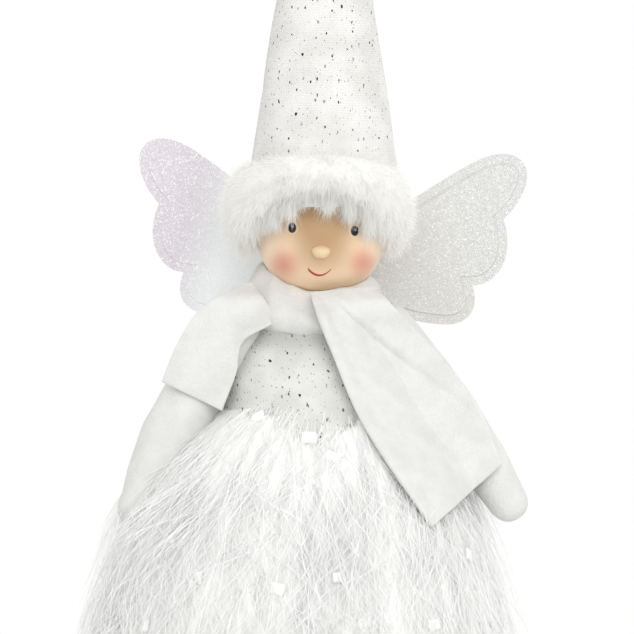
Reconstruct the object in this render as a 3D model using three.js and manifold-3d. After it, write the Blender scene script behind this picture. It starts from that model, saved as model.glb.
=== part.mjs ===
// Angel figurine: a soft standing figure with a painted ball head, a tall knit hat with a fur brim,
// glitter wings, a fleece scarf, stuffed arms and a shaggy fringe skirt over a weighted card cone.
// Millimetres, +Z up. The figure faces -Y, and left and right are the angel's own: its left is +X.
import * as THREE from 'three';
import { mergeVertices } from 'three/addons/utils/BufferGeometryUtils.js';
import Module from 'manifold-3d';

const wasm = await Module();
wasm.setup();

// Fits and facets shared by all pieces
const CLEARANCE = 0.3;
const CUT_OVERRUN = 2;
const TURNED_SIDES = 32;
const FORM_SIDES = 24;
const LIMB_SIDES = 12;
const LOOP_STEPS = 32;
const SECTION_SIDES = 12;
const BALL_BANDS = 14;
const WELD = 1e-4;

// Weighted base: felt, board, card cone and sand bag
const CONE_BASE_RADIUS = 60;
const BOARD_MARGIN = 2.5;
const BOARD_THICKNESS = 3;
const BOARD_CHAMFER = 0.8;
const FELT_INSET = 2.5;
const FELT_THICKNESS = 1.5;
const CONE_TOP_RADIUS = 32;
const CONE_HEIGHT = 158.5;
const CARD_THICKNESS = 1.5;
const BALLAST_SEAT_RADIUS = 38;
const BALLAST_BELLY_RADIUS = 46;
const BALLAST_CROWN_RADIUS = 26;
const BALLAST_HEIGHT = 20;
const BALLAST_DIP = 4;
const BALLAST_STEPS = 6;

// Wooden plug in the cone's top and the dowel that carries the head
const PLUG_LIP = 3;
const PLUG_DEPTH = 14;
const PLUG_FLOOR = 4;
const DOWEL_RADIUS = 4;
const DOWEL_CHAMFER = 0.8;
const DOWEL_IN_HEAD = 20;

// Knit body: a cone from the waist to the shoulders, then a dome up to the neck
const BODY_HEIGHT = 31;
const WAIST_RADIUS = 36;
const SHOULDER_HALF_WIDTH = 16.5;
const SHOULDER_SHIFT = -1.2;
const SHOULDER_HALF_DEPTH = 18;
const SHOULDER_DOME = 9;
const NECK_RADIUS = 9;
const BODY_SWELL = 1;
const KNIT_THICKNESS = 1.2;
const BODY_STEPS = 4;
const DOME_STEPS = 3;

// Skirt lining and the tiers of fringe sewn round it
const HEM_HEIGHT = 3;
const HEM_FLARE = 10;
const LINING_THICKNESS = 1.2;
const TIER_COUNT = 7;
const TIER_DROP = 34;
const TIER_FLARE = 13;
const TOP_TIER_FLARE = 9;
const SIDE_FLARE = 14;
const SIDE_FLARE_FROM = 2;
const TAPE_WIDTH = 4;
const TAPE_THICKNESS = 2.2;
const LOCKS_PER_TIER = 20;
const LOCK_THICKNESS = 4;
const PARTING_THICKNESS = 1.8;
const PARTING_RISE = 8;
const LOCK_BEND = 0.55;
const LOCK_BEND_FLARE = 0.45;

// Painted wooden head
const HEAD_RADIUS = 23.2;
const HEAD_ABOVE_NECK = 3.8;
const NOSE_HALF_WIDTH = 3.3;
const NOSE_HALF_DEPTH = 2.6;
const NOSE_HALF_HEIGHT = 2.5;
const NOSE_DROP = 7.1;

// Knit hat, its filling and its fur brim; the brim's edges are heights from the head's centre
const HAT_RIM_LIFT = 9;
const HAT_EASE = 5.6;
const HAT_HEIGHT = 158;
const HAT_TIP_RADIUS = 5.7;
const HAT_LEAN = 9;
const HAT_LEAN_POWER = 3;
const HAT_STEPS = 7;
const HAT_TIP_STEPS = 3;
const BRIM_RADIUS = 35;
const BRIM_THICKNESS = 10.5;
const BRIM_FORWARD = 1.5;
const BRIM_BOTTOM = { front: 6, side: -11, back: 1 };
const BRIM_TOP = { front: 32, side: 26, back: 29 };

// Stuffed arms, sewn to the sides of the body below the collar
const ARM_RADIUS = 8.5;
const ARM_LENGTH = 84;
const RIGHT_ARM_SPREAD = THREE.MathUtils.degToRad(31);
const LEFT_ARM_SPREAD = THREE.MathUtils.degToRad(34);
const ARM_FORWARD = THREE.MathUtils.degToRad(12);
const ARM_ABOVE_SHOULDER = 2;
const WRIST_WAIST = 0.7;
const SLEEVE_THICKNESS = 1.2;
const ARMHOLE_RADIUS = 4;
const ARM_STEPS = 7;
const SEAT_SAMPLES = 40;
const CUFF_STEPS = 3;

// Scarf: a collar wound round the neck and two loose tails; heights are from the top of the body
const COLLAR_RADIUS = 18.5;
const COLLAR_THICKNESS = 12.5;
const COLLAR_SIDEWAYS = -2.5;
const COLLAR_BACKWARD = 5;
const COLLAR_BOTTOM = { front: -10, side: -5, back: -3 };
const COLLAR_TOP = { front: 6, side: 14, back: 16 };
const COLLAR_SLOPE = 3;
const COLLAR_FOLD = 0.7;
const COLLAR_FOLD_COUNT = 3;
const COLLAR_TWIST = 2;
const FLEECE_THICKNESS = 2.4;
const TAIL_GAP = 0.65;
const TUCK_GAP = 0.8;
const TAIL_ROOM = 16;
const TAIL_FOLD = 1.1;
const DRAPE_SHARPNESS = 6;

// Long tail over the angel's left arm and short tail over its right shoulder: the two edges of each,
// from the collar to the cut end, as points across and up in the front view
const LONG_TAIL = {
  inner: [[-4, 5], [3.5, -15], [15, -42], [39, -78]],
  outer: [[19, 7.5], [37, -11], [55.5, -33.5], [64.8, -56]],
  folds: 2,
  isOverCollar: true,
};
const SHORT_TAIL = {
  inner: [[-15, -4], [-24, -12], [-28, -23], [-32.5, -35.5]],
  outer: [[-25, 9], [-42, 0.5], [-51.5, -13], [-57, -26.5]],
  folds: 1,
  isOverCollar: false,
};
const TAIL_STEPS = 9;
const TAIL_WIDTH_STEPS = 7;

// Wings: two glitter sheets with a card core, hung on a patch at the back of the collar
const WING_BELOW_HEAD = 8;
const WING_SHIFT = 3;
const WING_SEAT = 0.5;
const WING_TILT = THREE.MathUtils.degToRad(2.6);
const WING_SWEEP = THREE.MathUtils.degToRad(10);
const WING_SHEET = 0.5;
const WING_CORE = 0.6;
const WING_LAYER_GAP = 0.2;
const WING_SEAM = 3.6;
const WING_CURVE_STEPS = 7;
const PATCH_HALF_WIDTH = 3.6;
const PATCH_BOTTOM = -19;
const HINGE_GAP = 0.4;
const WING_ROOT_TOP = 6;
const WING_ROOT_BOTTOM = -10;
// The wing's edge from its lower root to its upper root: each curve's two handles and its end
const WING_EDGE = [
  [[12.4, -18.9], [24.7, -22.6], [38.1, -23.1]],
  [[47.4, -23.6], [53, -17.9], [49.4, -8.4]],
  [[57.7, -8.4], [65.4, 2.1], [59.7, 16.3]],
  [[64.9, 21], [70.6, 31.5], [66.4, 36.8]],
  [[63.3, 41.5], [55.6, 41], [47.4, 36.2]],
  [[30.9, 26.3], [12.4, 11.6], [0, WING_ROOT_TOP]],
];

// Heights and places that follow from the sizes above
const BOARD_RADIUS = CONE_BASE_RADIUS + BOARD_MARGIN;
const FELT_RADIUS = BOARD_RADIUS - FELT_INSET;
const BOARD_TOP = FELT_THICKNESS + BOARD_THICKNESS;
const CONE_TOP = BOARD_TOP + CONE_HEIGHT;
const WAIST_HEIGHT = CONE_TOP + PLUG_LIP;
const SHOULDER_HEIGHT = WAIST_HEIGHT + BODY_HEIGHT;
const NECK_HEIGHT = SHOULDER_HEIGHT + SHOULDER_DOME;
const HEAD_HEIGHT = NECK_HEIGHT + HEAD_ABOVE_NECK + HEAD_RADIUS;
const HAT_RIM_HEIGHT = HEAD_HEIGHT + HAT_RIM_LIFT;
const HAT_RIM_RADIUS = HEAD_RADIUS + HAT_EASE;
const LINING_TOP = WAIST_HEIGHT - CLEARANCE;
const HEM_RADIUS = CONE_BASE_RADIUS + HEM_FLARE;
const TIER_PITCH = (LINING_TOP - TIER_DROP - HEM_HEIGHT) / (TIER_COUNT - 1);
const ARM_PIVOT_HEIGHT = SHOULDER_HEIGHT + ARM_ABOVE_SHOULDER;
const COLLAR_OUTER_RADIUS = COLLAR_RADIUS + Math.hypot(COLLAR_THICKNESS / 2, COLLAR_SLOPE);

const WHITE_KNIT = { color: 0xf2f1ee, roughness: 0.85, metalness: 0 };
const WHITE_FLEECE = { color: 0xf3f2ef, roughness: 0.95, metalness: 0 };
const WHITE_FUR = { color: 0xf4f3f0, roughness: 1, metalness: 0 };
const FRINGE_YARN = { color: 0xf5f4f2, roughness: 0.55, metalness: 0 };
const GLITTER_SHEET = { color: 0xe6e4ea, roughness: 0.4, metalness: 0.2 };
const PAINTED_SKIN = { color: 0xd9b083, roughness: 0.5, metalness: 0 };
const PALE_WOOD = { color: 0xd8b98a, roughness: 0.7, metalness: 0 };
const GREY_CARD = { color: 0xb9b2a6, roughness: 0.9, metalness: 0 };
const WADDING = { color: 0xefefec, roughness: 1, metalness: 0 };
const CALICO = { color: 0xd9d2c0, roughness: 0.95, metalness: 0 };

const angel = new THREE.Group();

function addPiece(parent, name, geometry, look) {
  const mesh = new THREE.Mesh(geometry, new THREE.MeshStandardMaterial(look));
  mesh.name = name;
  parent.add(mesh);
}

// Closed mesh to solid and back, for cutting one piece by another
function solidOf(geometry) {
  const bare = geometry.clone();
  bare.deleteAttribute('normal');
  bare.deleteAttribute('uv');
  const merged = mergeVertices(bare, WELD);
  const vertProperties = new Float32Array(merged.attributes.position.array);
  const triVerts = new Uint32Array(merged.index.array);
  return new wasm.Manifold(new wasm.Mesh({ numProp: 3, vertProperties, triVerts }));
}

function geometryOf(solid) {
  const mesh = solid.getMesh();
  const geometry = new THREE.BufferGeometry();
  geometry.setAttribute('position', new THREE.BufferAttribute(mesh.vertProperties, 3));
  geometry.setIndex(new THREE.BufferAttribute(mesh.triVerts, 1));
  geometry.computeVertexNormals();
  return geometry;
}

function cut(geometry, ...tools) {
  return geometryOf(tools.reduce((solid, tool) => solid.subtract(solidOf(tool)), solidOf(geometry)));
}

function meshFrom(points, faces) {
  const volume = faces.reduce((sum, [a, b, c]) => {
    const normal = new THREE.Vector3().crossVectors(points[b], points[c]);
    return sum + points[a].dot(normal);
  }, 0);
  const outward = volume > 0 ? faces : faces.map(([a, b, c]) => [a, c, b]);
  const geometry = new THREE.BufferGeometry().setFromPoints(points);
  geometry.setIndex(outward.flat());
  geometry.computeVertexNormals();
  return geometry;
}

// Skin over a row of rings with equal counts: a closed loop of rings, or a row that ends in points
function skinRings(rings, isLoop) {
  const sides = rings[0].length;
  const points = rings.flat();
  const faces = [];
  const spans = isLoop ? rings.length : rings.length - 1;
  for (let i = 0; i < spans; i += 1) {
    const here = i * sides;
    const next = ((i + 1) % rings.length) * sides;
    for (let k = 0; k < sides; k += 1) {
      const turn = (k + 1) % sides;
      faces.push([here + k, here + turn, next + turn], [here + k, next + turn, next + k]);
    }
  }
  if (!isLoop) {
    for (const [ring, isFirst] of [[0, true], [rings.length - 1, false]]) {
      const middle = new THREE.Vector3();
      rings[ring].forEach((point) => middle.addScaledVector(point, 1 / sides));
      const centre = points.push(middle) - 1;
      for (let k = 0; k < sides; k += 1) {
        const a = ring * sides + k;
        const b = ring * sides + ((k + 1) % sides);
        faces.push(isFirst ? [centre, b, a] : [centre, a, b]);
      }
    }
  }
  return meshFrom(points, faces);
}

function ovalRing(centreX, centreY, height, halfWidth, halfDepth, sides) {
  return Array.from({ length: sides }, (_, k) => {
    const angle = (k / sides) * 2 * Math.PI;
    const x = centreX + halfWidth * Math.cos(angle);
    const y = centreY + halfDepth * Math.sin(angle);
    return new THREE.Vector3(x, y, height);
  });
}

function turned(profile, sides = TURNED_SIDES) {
  const points = profile.map(([radius, height]) => new THREE.Vector2(radius, height));
  return new THREE.LatheGeometry(points, sides).rotateX(Math.PI / 2);
}

function rod(radius, bottom, top, sides = TURNED_SIDES) {
  return turned([[0, bottom], [radius, bottom], [radius, top], [0, top]], sides);
}

// Height that runs from front to side to back round the neck or head, at an angle from +X
function saddle(edge, angle) {
  const ends = (edge.front + edge.back) / 2;
  const mean = (ends + edge.side) / 2;
  return mean + (edge.side - mean) * Math.cos(2 * angle) + ((edge.back - edge.front) / 2) * Math.sin(angle);
}

// Weighted base
function addBase() {
  addPiece(angel, 'base_felt', rod(FELT_RADIUS, 0, FELT_THICKNESS), WHITE_KNIT);
  const rim = BOARD_RADIUS - BOARD_CHAMFER;
  const board = turned([
    [0, FELT_THICKNESS],
    [rim, FELT_THICKNESS],
    [BOARD_RADIUS, FELT_THICKNESS + BOARD_CHAMFER],
    [BOARD_RADIUS, BOARD_TOP - BOARD_CHAMFER],
    [rim, BOARD_TOP],
    [0, BOARD_TOP],
  ]);
  addPiece(angel, 'base_board', board, GREY_CARD);
  const cone = turned([
    [CONE_BASE_RADIUS, BOARD_TOP],
    [CONE_TOP_RADIUS, CONE_TOP],
    [CONE_TOP_RADIUS - CARD_THICKNESS, CONE_TOP],
    [CONE_BASE_RADIUS - CARD_THICKNESS, BOARD_TOP],
    [CONE_BASE_RADIUS, BOARD_TOP],
  ]);
  addPiece(angel, 'body_cone', cone, GREY_CARD);
  addPiece(angel, 'ballast_bag', ballastBag(), CALICO);
}

// Sand bag: a flat seat, a round belly and a crown that dips to its tied middle
function ballastBag() {
  const top = BOARD_TOP + BALLAST_HEIGHT;
  const belly = new THREE.CubicBezierCurve(
    new THREE.Vector2(BALLAST_SEAT_RADIUS, BOARD_TOP),
    new THREE.Vector2(BALLAST_BELLY_RADIUS, BOARD_TOP),
    new THREE.Vector2(BALLAST_BELLY_RADIUS, top),
    new THREE.Vector2(BALLAST_CROWN_RADIUS, top),
  );
  const profile = belly.getPoints(BALLAST_STEPS).map((point) => [point.x, point.y]);
  return turned([[0, BOARD_TOP], ...profile, [0, top - BALLAST_DIP]], FORM_SIDES);
}

// Plug with a lip on the cone's rim and a blind bore, and the dowel that stands in it
function addNeckPost() {
  const taper = (CONE_BASE_RADIUS - CONE_TOP_RADIUS) / CONE_HEIGHT;
  const topFit = CONE_TOP_RADIUS - CARD_THICKNESS - CLEARANCE;
  const plugFloor = CONE_TOP - PLUG_DEPTH;
  const boreFloor = plugFloor + PLUG_FLOOR;
  const bore = DOWEL_RADIUS + CLEARANCE;
  const plug = turned([
    [0, plugFloor],
    [topFit + taper * PLUG_DEPTH, plugFloor],
    [topFit, CONE_TOP],
    [CONE_TOP_RADIUS, CONE_TOP],
    [CONE_TOP_RADIUS, WAIST_HEIGHT],
    [bore, WAIST_HEIGHT],
    [bore, boreFloor],
    [0, boreFloor],
  ]);
  addPiece(angel, 'cone_plug', plug, PALE_WOOD);
  const dowelTop = HEAD_HEIGHT - HEAD_RADIUS + DOWEL_IN_HEAD;
  const end = DOWEL_RADIUS - DOWEL_CHAMFER;
  const dowel = turned([
    [0, boreFloor],
    [end, boreFloor],
    [DOWEL_RADIUS, boreFloor + DOWEL_CHAMFER],
    [DOWEL_RADIUS, dowelTop - DOWEL_CHAMFER],
    [end, dowelTop],
    [0, dowelTop],
  ], LIMB_SIDES);
  addPiece(angel, 'neck_dowel', dowel, PALE_WOOD);
}

function dowelBore(bottom, top) {
  return rod(DOWEL_RADIUS + CLEARANCE, bottom, top, LIMB_SIDES);
}

// Half width and half depth of the knit body at a height, grown by an offset, and its lean to one side
function bodyHalf(height, offset = 0) {
  if (height <= SHOULDER_HEIGHT) {
    const rise = (height - WAIST_HEIGHT) / BODY_HEIGHT;
    const swell = BODY_SWELL * Math.sin(Math.PI * Math.max(rise, 0)) + offset;
    return {
      centre: SHOULDER_SHIFT * rise,
      width: THREE.MathUtils.lerp(WAIST_RADIUS, SHOULDER_HALF_WIDTH, rise) + swell,
      depth: THREE.MathUtils.lerp(WAIST_RADIUS, SHOULDER_HALF_DEPTH, rise) + swell,
    };
  }
  const climb = Math.min((height - SHOULDER_HEIGHT) / SHOULDER_DOME, 1);
  const round = Math.sqrt(1 - climb * climb);
  return {
    centre: SHOULDER_SHIFT * round,
    width: THREE.MathUtils.lerp(NECK_RADIUS, SHOULDER_HALF_WIDTH, round) + offset,
    depth: THREE.MathUtils.lerp(NECK_RADIUS, SHOULDER_HALF_DEPTH, round) + offset,
  };
}

function bodyForm(bottom, offset) {
  const rings = [];
  for (let i = 0; i <= BODY_STEPS; i += 1) {
    const height = THREE.MathUtils.lerp(bottom, SHOULDER_HEIGHT, i / BODY_STEPS);
    const half = bodyHalf(height, offset);
    rings.push(ovalRing(half.centre, 0, height, half.width, half.depth, FORM_SIDES));
  }
  for (let i = 1; i <= DOME_STEPS; i += 1) {
    const climb = Math.sin((i / DOME_STEPS) * (Math.PI / 2));
    const half = bodyHalf(SHOULDER_HEIGHT + SHOULDER_DOME * climb, offset);
    const height = SHOULDER_HEIGHT + (SHOULDER_DOME + offset) * climb;
    rings.push(ovalRing(half.centre, 0, height, half.width, half.depth, FORM_SIDES));
  }
  return skinRings(rings, false);
}

// Stuffed torso on the plug, and the knit bodice drawn over it down to the waist seam
function addBody() {
  const stuffing = bodyForm(WAIST_HEIGHT, -KNIT_THICKNESS - CLEARANCE);
  const bore = dowelBore(WAIST_HEIGHT - CUT_OVERRUN, NECK_HEIGHT + CUT_OVERRUN);
  addPiece(angel, 'torso_stuffing', cut(stuffing, bore), WADDING);
  const inside = bodyForm(WAIST_HEIGHT - CUT_OVERRUN, -KNIT_THICKNESS);
  const neckRadius = NECK_RADIUS - KNIT_THICKNESS;
  const neckHole = rod(neckRadius, SHOULDER_HEIGHT, NECK_HEIGHT + CUT_OVERRUN, LIMB_SIDES);
  addPiece(angel, 'bodice', cut(bodyForm(WAIST_HEIGHT, 0), inside, neckHole), WHITE_KNIT);
}

// Radius of the bell of the skirt lining at a height
function liningRadius(height) {
  const fall = (LINING_TOP - height) / (LINING_TOP - HEM_HEIGHT);
  return WAIST_RADIUS + (HEM_RADIUS - WAIST_RADIUS) * Math.sin((fall * Math.PI) / 2);
}

function tierRoot(tier) {
  return LINING_TOP - tier * TIER_PITCH;
}

function addSkirt() {
  const outside = [[HEM_RADIUS, HEM_HEIGHT]];
  for (let tier = TIER_COUNT - 1; tier >= 0; tier -= 1) {
    for (const height of [tierRoot(tier) - TAPE_WIDTH, tierRoot(tier)]) {
      outside.push([liningRadius(height), height]);
    }
  }
  const everyOther = outside.filter((_, i) => i % 2 === 0);
  const inside = everyOther.map(([radius, height]) => [radius - LINING_THICKNESS, height]);
  const lining = turned([...outside, ...inside.reverse(), outside[0]], FORM_SIDES);
  addPiece(angel, 'skirt_lining', lining, WHITE_KNIT);
  for (let tier = 0; tier < TIER_COUNT; tier += 1) {
    addPiece(angel, `fringe_tier_${tier + 1}`, fringeTier(tier), FRINGE_YARN);
  }
}

function tierFlare(tier) {
  return tier === 0 ? TOP_TIER_FLARE : TIER_FLARE;
}

// How much farther a tier's tips stand out at an angle: below the arms, more on the angel's right
function sideFlare(tier, angle) {
  const share = tier < SIDE_FLARE_FROM ? 0 : (TIER_COUNT - tier) / TIER_COUNT;
  return SIDE_FLARE * share * Math.max(-Math.cos(angle), 0);
}

// One tier: a tape round the lining, from which thick locks flare out and down to pointed tips
function fringeTier(tier) {
  const root = tierRoot(tier);
  const steps = LOCKS_PER_TIER * 2;
  const middle = root - TIER_DROP * LOCK_BEND;
  const rings = Array.from({ length: steps }, (_, k) => {
    const isTip = (k + tier) % 2 === 0;
    const angle = (k / steps) * 2 * Math.PI;
    const flare = tierFlare(tier) + sideFlare(tier, angle);
    const inner = liningRadius(middle) + flare * LOCK_BEND_FLARE;
    const hem = root - TIER_DROP + (isTip ? 0 : PARTING_RISE);
    const spread = (root - hem) / TIER_DROP;
    const body = isTip ? LOCK_THICKNESS : PARTING_THICKNESS;
    const section = [
      [liningRadius(root) + CLEARANCE, root],
      [liningRadius(root) + CLEARANCE + TAPE_THICKNESS, root],
      [inner + body, middle],
      [liningRadius(hem) + flare * spread, hem],
      [inner, middle],
      [liningRadius(root - TAPE_WIDTH) + CLEARANCE, root - TAPE_WIDTH],
    ];
    return section.map(([radius, height]) => {
      return new THREE.Vector3(radius * Math.cos(angle), radius * Math.sin(angle), height);
    });
  });
  return skinRings(rings, true);
}

function ball(radius, offset, height) {
  const sphere = new THREE.SphereGeometry(radius + offset, FORM_SIDES, BALL_BANDS);
  return sphere.rotateX(Math.PI / 2).translate(0, 0, height);
}

// Painted ball with a blind bore for the dowel, and the bead of a nose seated on it
function addHead() {
  const chin = HEAD_HEIGHT - HEAD_RADIUS;
  const bore = dowelBore(chin - CUT_OVERRUN, chin + DOWEL_IN_HEAD);
  addPiece(angel, 'head_ball', cut(ball(HEAD_RADIUS, 0, HEAD_HEIGHT), bore), PAINTED_SKIN);
  const reach = Math.sqrt(HEAD_RADIUS * HEAD_RADIUS - NOSE_DROP * NOSE_DROP);
  const bead = new THREE.SphereGeometry(1, LIMB_SIDES, SECTION_SIDES);
  bead.scale(NOSE_HALF_WIDTH, NOSE_HALF_DEPTH, NOSE_HALF_HEIGHT);
  bead.translate(0, -reach, HEAD_HEIGHT - NOSE_DROP);
  addPiece(angel, 'nose_bead', cut(bead, ball(HEAD_RADIUS, CLEARANCE, HEAD_HEIGHT)), PAINTED_SKIN);
}

// The hat's cone, grown by an offset: straight sides, a round tip and a lean to the angel's left
function hatForm(bottom, offset) {
  const tipTop = HAT_RIM_HEIGHT + HAT_HEIGHT;
  const straightTop = tipTop - HAT_TIP_RADIUS;
  const slope = (HAT_RIM_RADIUS - HAT_TIP_RADIUS) / (straightTop - HAT_RIM_HEIGHT);
  const ringAt = (height, radius) => {
    const rise = Math.max(height - HAT_RIM_HEIGHT, 0) / HAT_HEIGHT;
    return ovalRing(HAT_LEAN * rise ** HAT_LEAN_POWER, 0, height, radius, radius, FORM_SIDES);
  };
  const rings = [];
  for (let i = 0; i <= HAT_STEPS; i += 1) {
    const height = THREE.MathUtils.lerp(bottom, straightTop, i / HAT_STEPS);
    rings.push(ringAt(height, HAT_RIM_RADIUS - slope * (height - HAT_RIM_HEIGHT) + offset));
  }
  const tip = HAT_TIP_RADIUS + offset;
  for (let i = 1; i < HAT_TIP_STEPS; i += 1) {
    const angle = (i / HAT_TIP_STEPS) * (Math.PI / 2);
    rings.push(ringAt(straightTop + tip * Math.sin(angle), tip * Math.cos(angle)));
  }
  return skinRings(rings, false);
}

function addHat() {
  const inside = hatForm(HAT_RIM_HEIGHT - CUT_OVERRUN, -KNIT_THICKNESS);
  addPiece(angel, 'hat_shell', cut(hatForm(HAT_RIM_HEIGHT, 0), inside), WHITE_KNIT);
  const filling = hatForm(HAT_RIM_HEIGHT, -KNIT_THICKNESS - CLEARANCE);
  const seat = ball(HEAD_RADIUS, CLEARANCE, HEAD_HEIGHT);
  addPiece(angel, 'hat_filling', cut(filling, seat), WADDING);
  const band = hatForm(HAT_RIM_HEIGHT, CLEARANCE);
  addPiece(angel, 'hat_brim', cut(furBrim(), band, seat), WHITE_FUR);
}

// Closed loop of oval sections round a centre, between a lower and an upper saddle edge
function woundLoop(radius, thickness, centre, bottom, top, heightBase, shape) {
  const rings = Array.from({ length: LOOP_STEPS }, (_, i) => {
    const angle = (i / LOOP_STEPS) * 2 * Math.PI;
    const low = heightBase + saddle(bottom, angle);
    const high = heightBase + saddle(top, angle);
    return Array.from({ length: SECTION_SIDES }, (__, k) => {
      const turn = (k / SECTION_SIDES) * 2 * Math.PI;
      const outward = radius + (thickness / 2) * Math.cos(turn) + shape(angle, turn);
      const height = (low + high) / 2 + ((high - low) / 2) * Math.sin(turn);
      const x = centre.x + outward * Math.cos(angle);
      const y = centre.y + outward * Math.sin(angle);
      return new THREE.Vector3(x, y, height);
    });
  });
  return skinRings(rings, true);
}

function furBrim() {
  const middle = BRIM_RADIUS - BRIM_THICKNESS / 2;
  const centre = new THREE.Vector2(0, -BRIM_FORWARD);
  const plain = () => 0;
  return woundLoop(middle, BRIM_THICKNESS, centre, BRIM_BOTTOM, BRIM_TOP, HEAD_HEIGHT, plain);
}

// Collar of fleece that slopes out from the chin, with folds that run round it in a slow twist
function collarShape(angle, turn) {
  const fold = COLLAR_FOLD * (Math.sin(COLLAR_FOLD_COUNT * turn + COLLAR_TWIST * angle) - 1);
  return -COLLAR_SLOPE * Math.sin(turn) + fold * Math.max(Math.cos(turn), 0);
}

function collarLoop(offset) {
  const grow = (edge, by) => ({ front: edge.front + by, side: edge.side + by, back: edge.back + by });
  const thickness = COLLAR_THICKNESS + 2 * offset;
  const bottom = grow(COLLAR_BOTTOM, -offset);
  const top = grow(COLLAR_TOP, offset);
  const centre = new THREE.Vector2(COLLAR_SIDEWAYS, COLLAR_BACKWARD);
  return woundLoop(COLLAR_RADIUS, thickness, centre, bottom, top, NECK_HEIGHT, collarShape);
}

// How far forward the collar reaches at a place in the front view: its belly, then its rounded top
function collarReach(x, height) {
  const across = (x - COLLAR_SIDEWAYS) / COLLAR_OUTER_RADIUS;
  const angle = -Math.acos(THREE.MathUtils.clamp(across, -1, 1));
  const low = NECK_HEIGHT + saddle(COLLAR_BOTTOM, angle);
  const high = NECK_HEIGHT + saddle(COLLAR_TOP, angle);
  const climb = (2 * height - low - high) / (high - low);
  const turn = Math.asin(THREE.MathUtils.clamp(climb, 0, 1));
  const outward = COLLAR_RADIUS + (COLLAR_THICKNESS / 2) * Math.cos(turn) + collarShape(angle, turn);
  const hangs = THREE.MathUtils.smoothstep(height, low - TAIL_ROOM, low);
  return hangs * (outward * -Math.sin(angle) - COLLAR_BACKWARD);
}

// The collar is shaped by what it lies on: the head, the body and the tops of both arms
function addCollar() {
  const head = ball(HEAD_RADIUS, CLEARANCE, HEAD_HEIGHT);
  const body = bodyForm(WAIST_HEIGHT, CLEARANCE);
  const arms = [-1, 1].map((side) => {
    return ball(ARM_RADIUS, CLEARANCE, ARM_PIVOT_HEIGHT).translate(armPivotX(side), 0, 0);
  });
  addPiece(angel, 'scarf_collar', cut(collarLoop(0), head, body, ...arms), WHITE_FLEECE);
}

// Place of an arm's pivot across the figure, so that its round shoulder seats on the body's side
function armPivotX(side) {
  const reach = ARM_RADIUS + CLEARANCE;
  let distance = 0;
  for (let i = 0; i <= SEAT_SAMPLES; i += 1) {
    const drop = reach * ((2 * i) / SEAT_SAMPLES - 1);
    const half = bodyHalf(ARM_PIVOT_HEIGHT + drop);
    const edge = half.width + side * half.centre;
    distance = Math.max(distance, edge + Math.sqrt(Math.max(reach * reach - drop * drop, 0)));
  }
  return side * distance;
}

// Radius of the arm at a distance down from its pivot: a round shoulder, a slim wrist, a mitten hand
function armRadius(distance) {
  const along = distance / ARM_LENGTH;
  return ARM_RADIUS - WRIST_WAIST * Math.sin(Math.PI * along) ** 2;
}

function armForm(offset) {
  const shoulder = ARM_RADIUS + offset;
  const hand = ARM_LENGTH - ARM_RADIUS;
  const rings = [];
  for (let i = 1; i <= CUFF_STEPS; i += 1) {
    const angle = (i / CUFF_STEPS) * (Math.PI / 2);
    const radius = shoulder * Math.sin(angle);
    rings.push(ovalRing(0, 0, shoulder * Math.cos(angle), radius, radius, LIMB_SIDES));
  }
  for (let i = 1; i <= ARM_STEPS; i += 1) {
    const distance = (hand * i) / ARM_STEPS;
    const radius = armRadius(distance) + offset;
    rings.push(ovalRing(0, 0, -distance, radius, radius, LIMB_SIDES));
  }
  const tip = armRadius(hand) + offset;
  for (let i = 1; i < CUFF_STEPS; i += 1) {
    const angle = (i / CUFF_STEPS) * (Math.PI / 2);
    const radius = tip * Math.cos(angle);
    rings.push(ovalRing(0, 0, -hand - tip * Math.sin(angle), radius, radius, LIMB_SIDES));
  }
  return skinRings(rings, false);
}

// One arm: a fleece sleeve with its armhole at the shoulder, round its filling
function addArm(name, side, spread) {
  const arm = new THREE.Group();
  arm.position.set(armPivotX(side), 0, ARM_PIVOT_HEIGHT);
  arm.rotation.set(-ARM_FORWARD, -side * spread, 0, 'YXZ');
  const hole = rod(ARMHOLE_RADIUS, 0, ARM_RADIUS + CUT_OVERRUN, LIMB_SIDES);
  const sleeve = cut(armForm(0), armForm(-SLEEVE_THICKNESS), hole);
  addPiece(arm, `${name}_arm_sleeve`, sleeve, WHITE_FLEECE);
  addPiece(arm, `${name}_arm_filling`, armForm(-SLEEVE_THICKNESS - CLEARANCE), WADDING);
  angel.add(arm);
}

// How far forward a tail of the scarf has to hang to clear the body, skirt, collar and swinging arm
function tailFront(x, height, isOverCollar) {
  const inRound = (half, depth, centre = 0) => {
    return depth * Math.sqrt(Math.max(1 - ((x - centre) / half) ** 2, 0));
  };
  const reaches = [];
  if (height > LINING_TOP) {
    const half = bodyHalf(height, TAPE_THICKNESS + CLEARANCE);
    reaches.push(inRound(half.width, half.depth, half.centre));
  } else {
    const fall = Math.min((LINING_TOP - height) / (TIER_DROP * LOCK_BEND), 1);
    const bend = TIER_FLARE * LOCK_BEND_FLARE + LOCK_THICKNESS;
    const spread = TAPE_THICKNESS + CLEARANCE + bend * fall;
    const skirt = liningRadius(height) + spread;
    reaches.push(inRound(skirt, skirt));
  }
  reaches.push(isOverCollar ? collarReach(x, height) : 0);
  const swing = Math.hypot(x - armPivotX(Math.sign(x)), height - ARM_PIVOT_HEIGHT);
  const armTop = ARM_PIVOT_HEIGHT + ARM_RADIUS;
  const below = 1 - THREE.MathUtils.smoothstep(height, armTop, armTop + ARM_RADIUS);
  reaches.push(below * (swing * Math.tan(ARM_FORWARD) + ARM_RADIUS / Math.cos(ARM_FORWARD)));
  const sum = reaches.reduce((total, reach) => total + Math.max(reach, 0) ** DRAPE_SHARPNESS, 0);
  return sum ** (1 / DRAPE_SHARPNESS) + TAIL_GAP;
}

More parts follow.
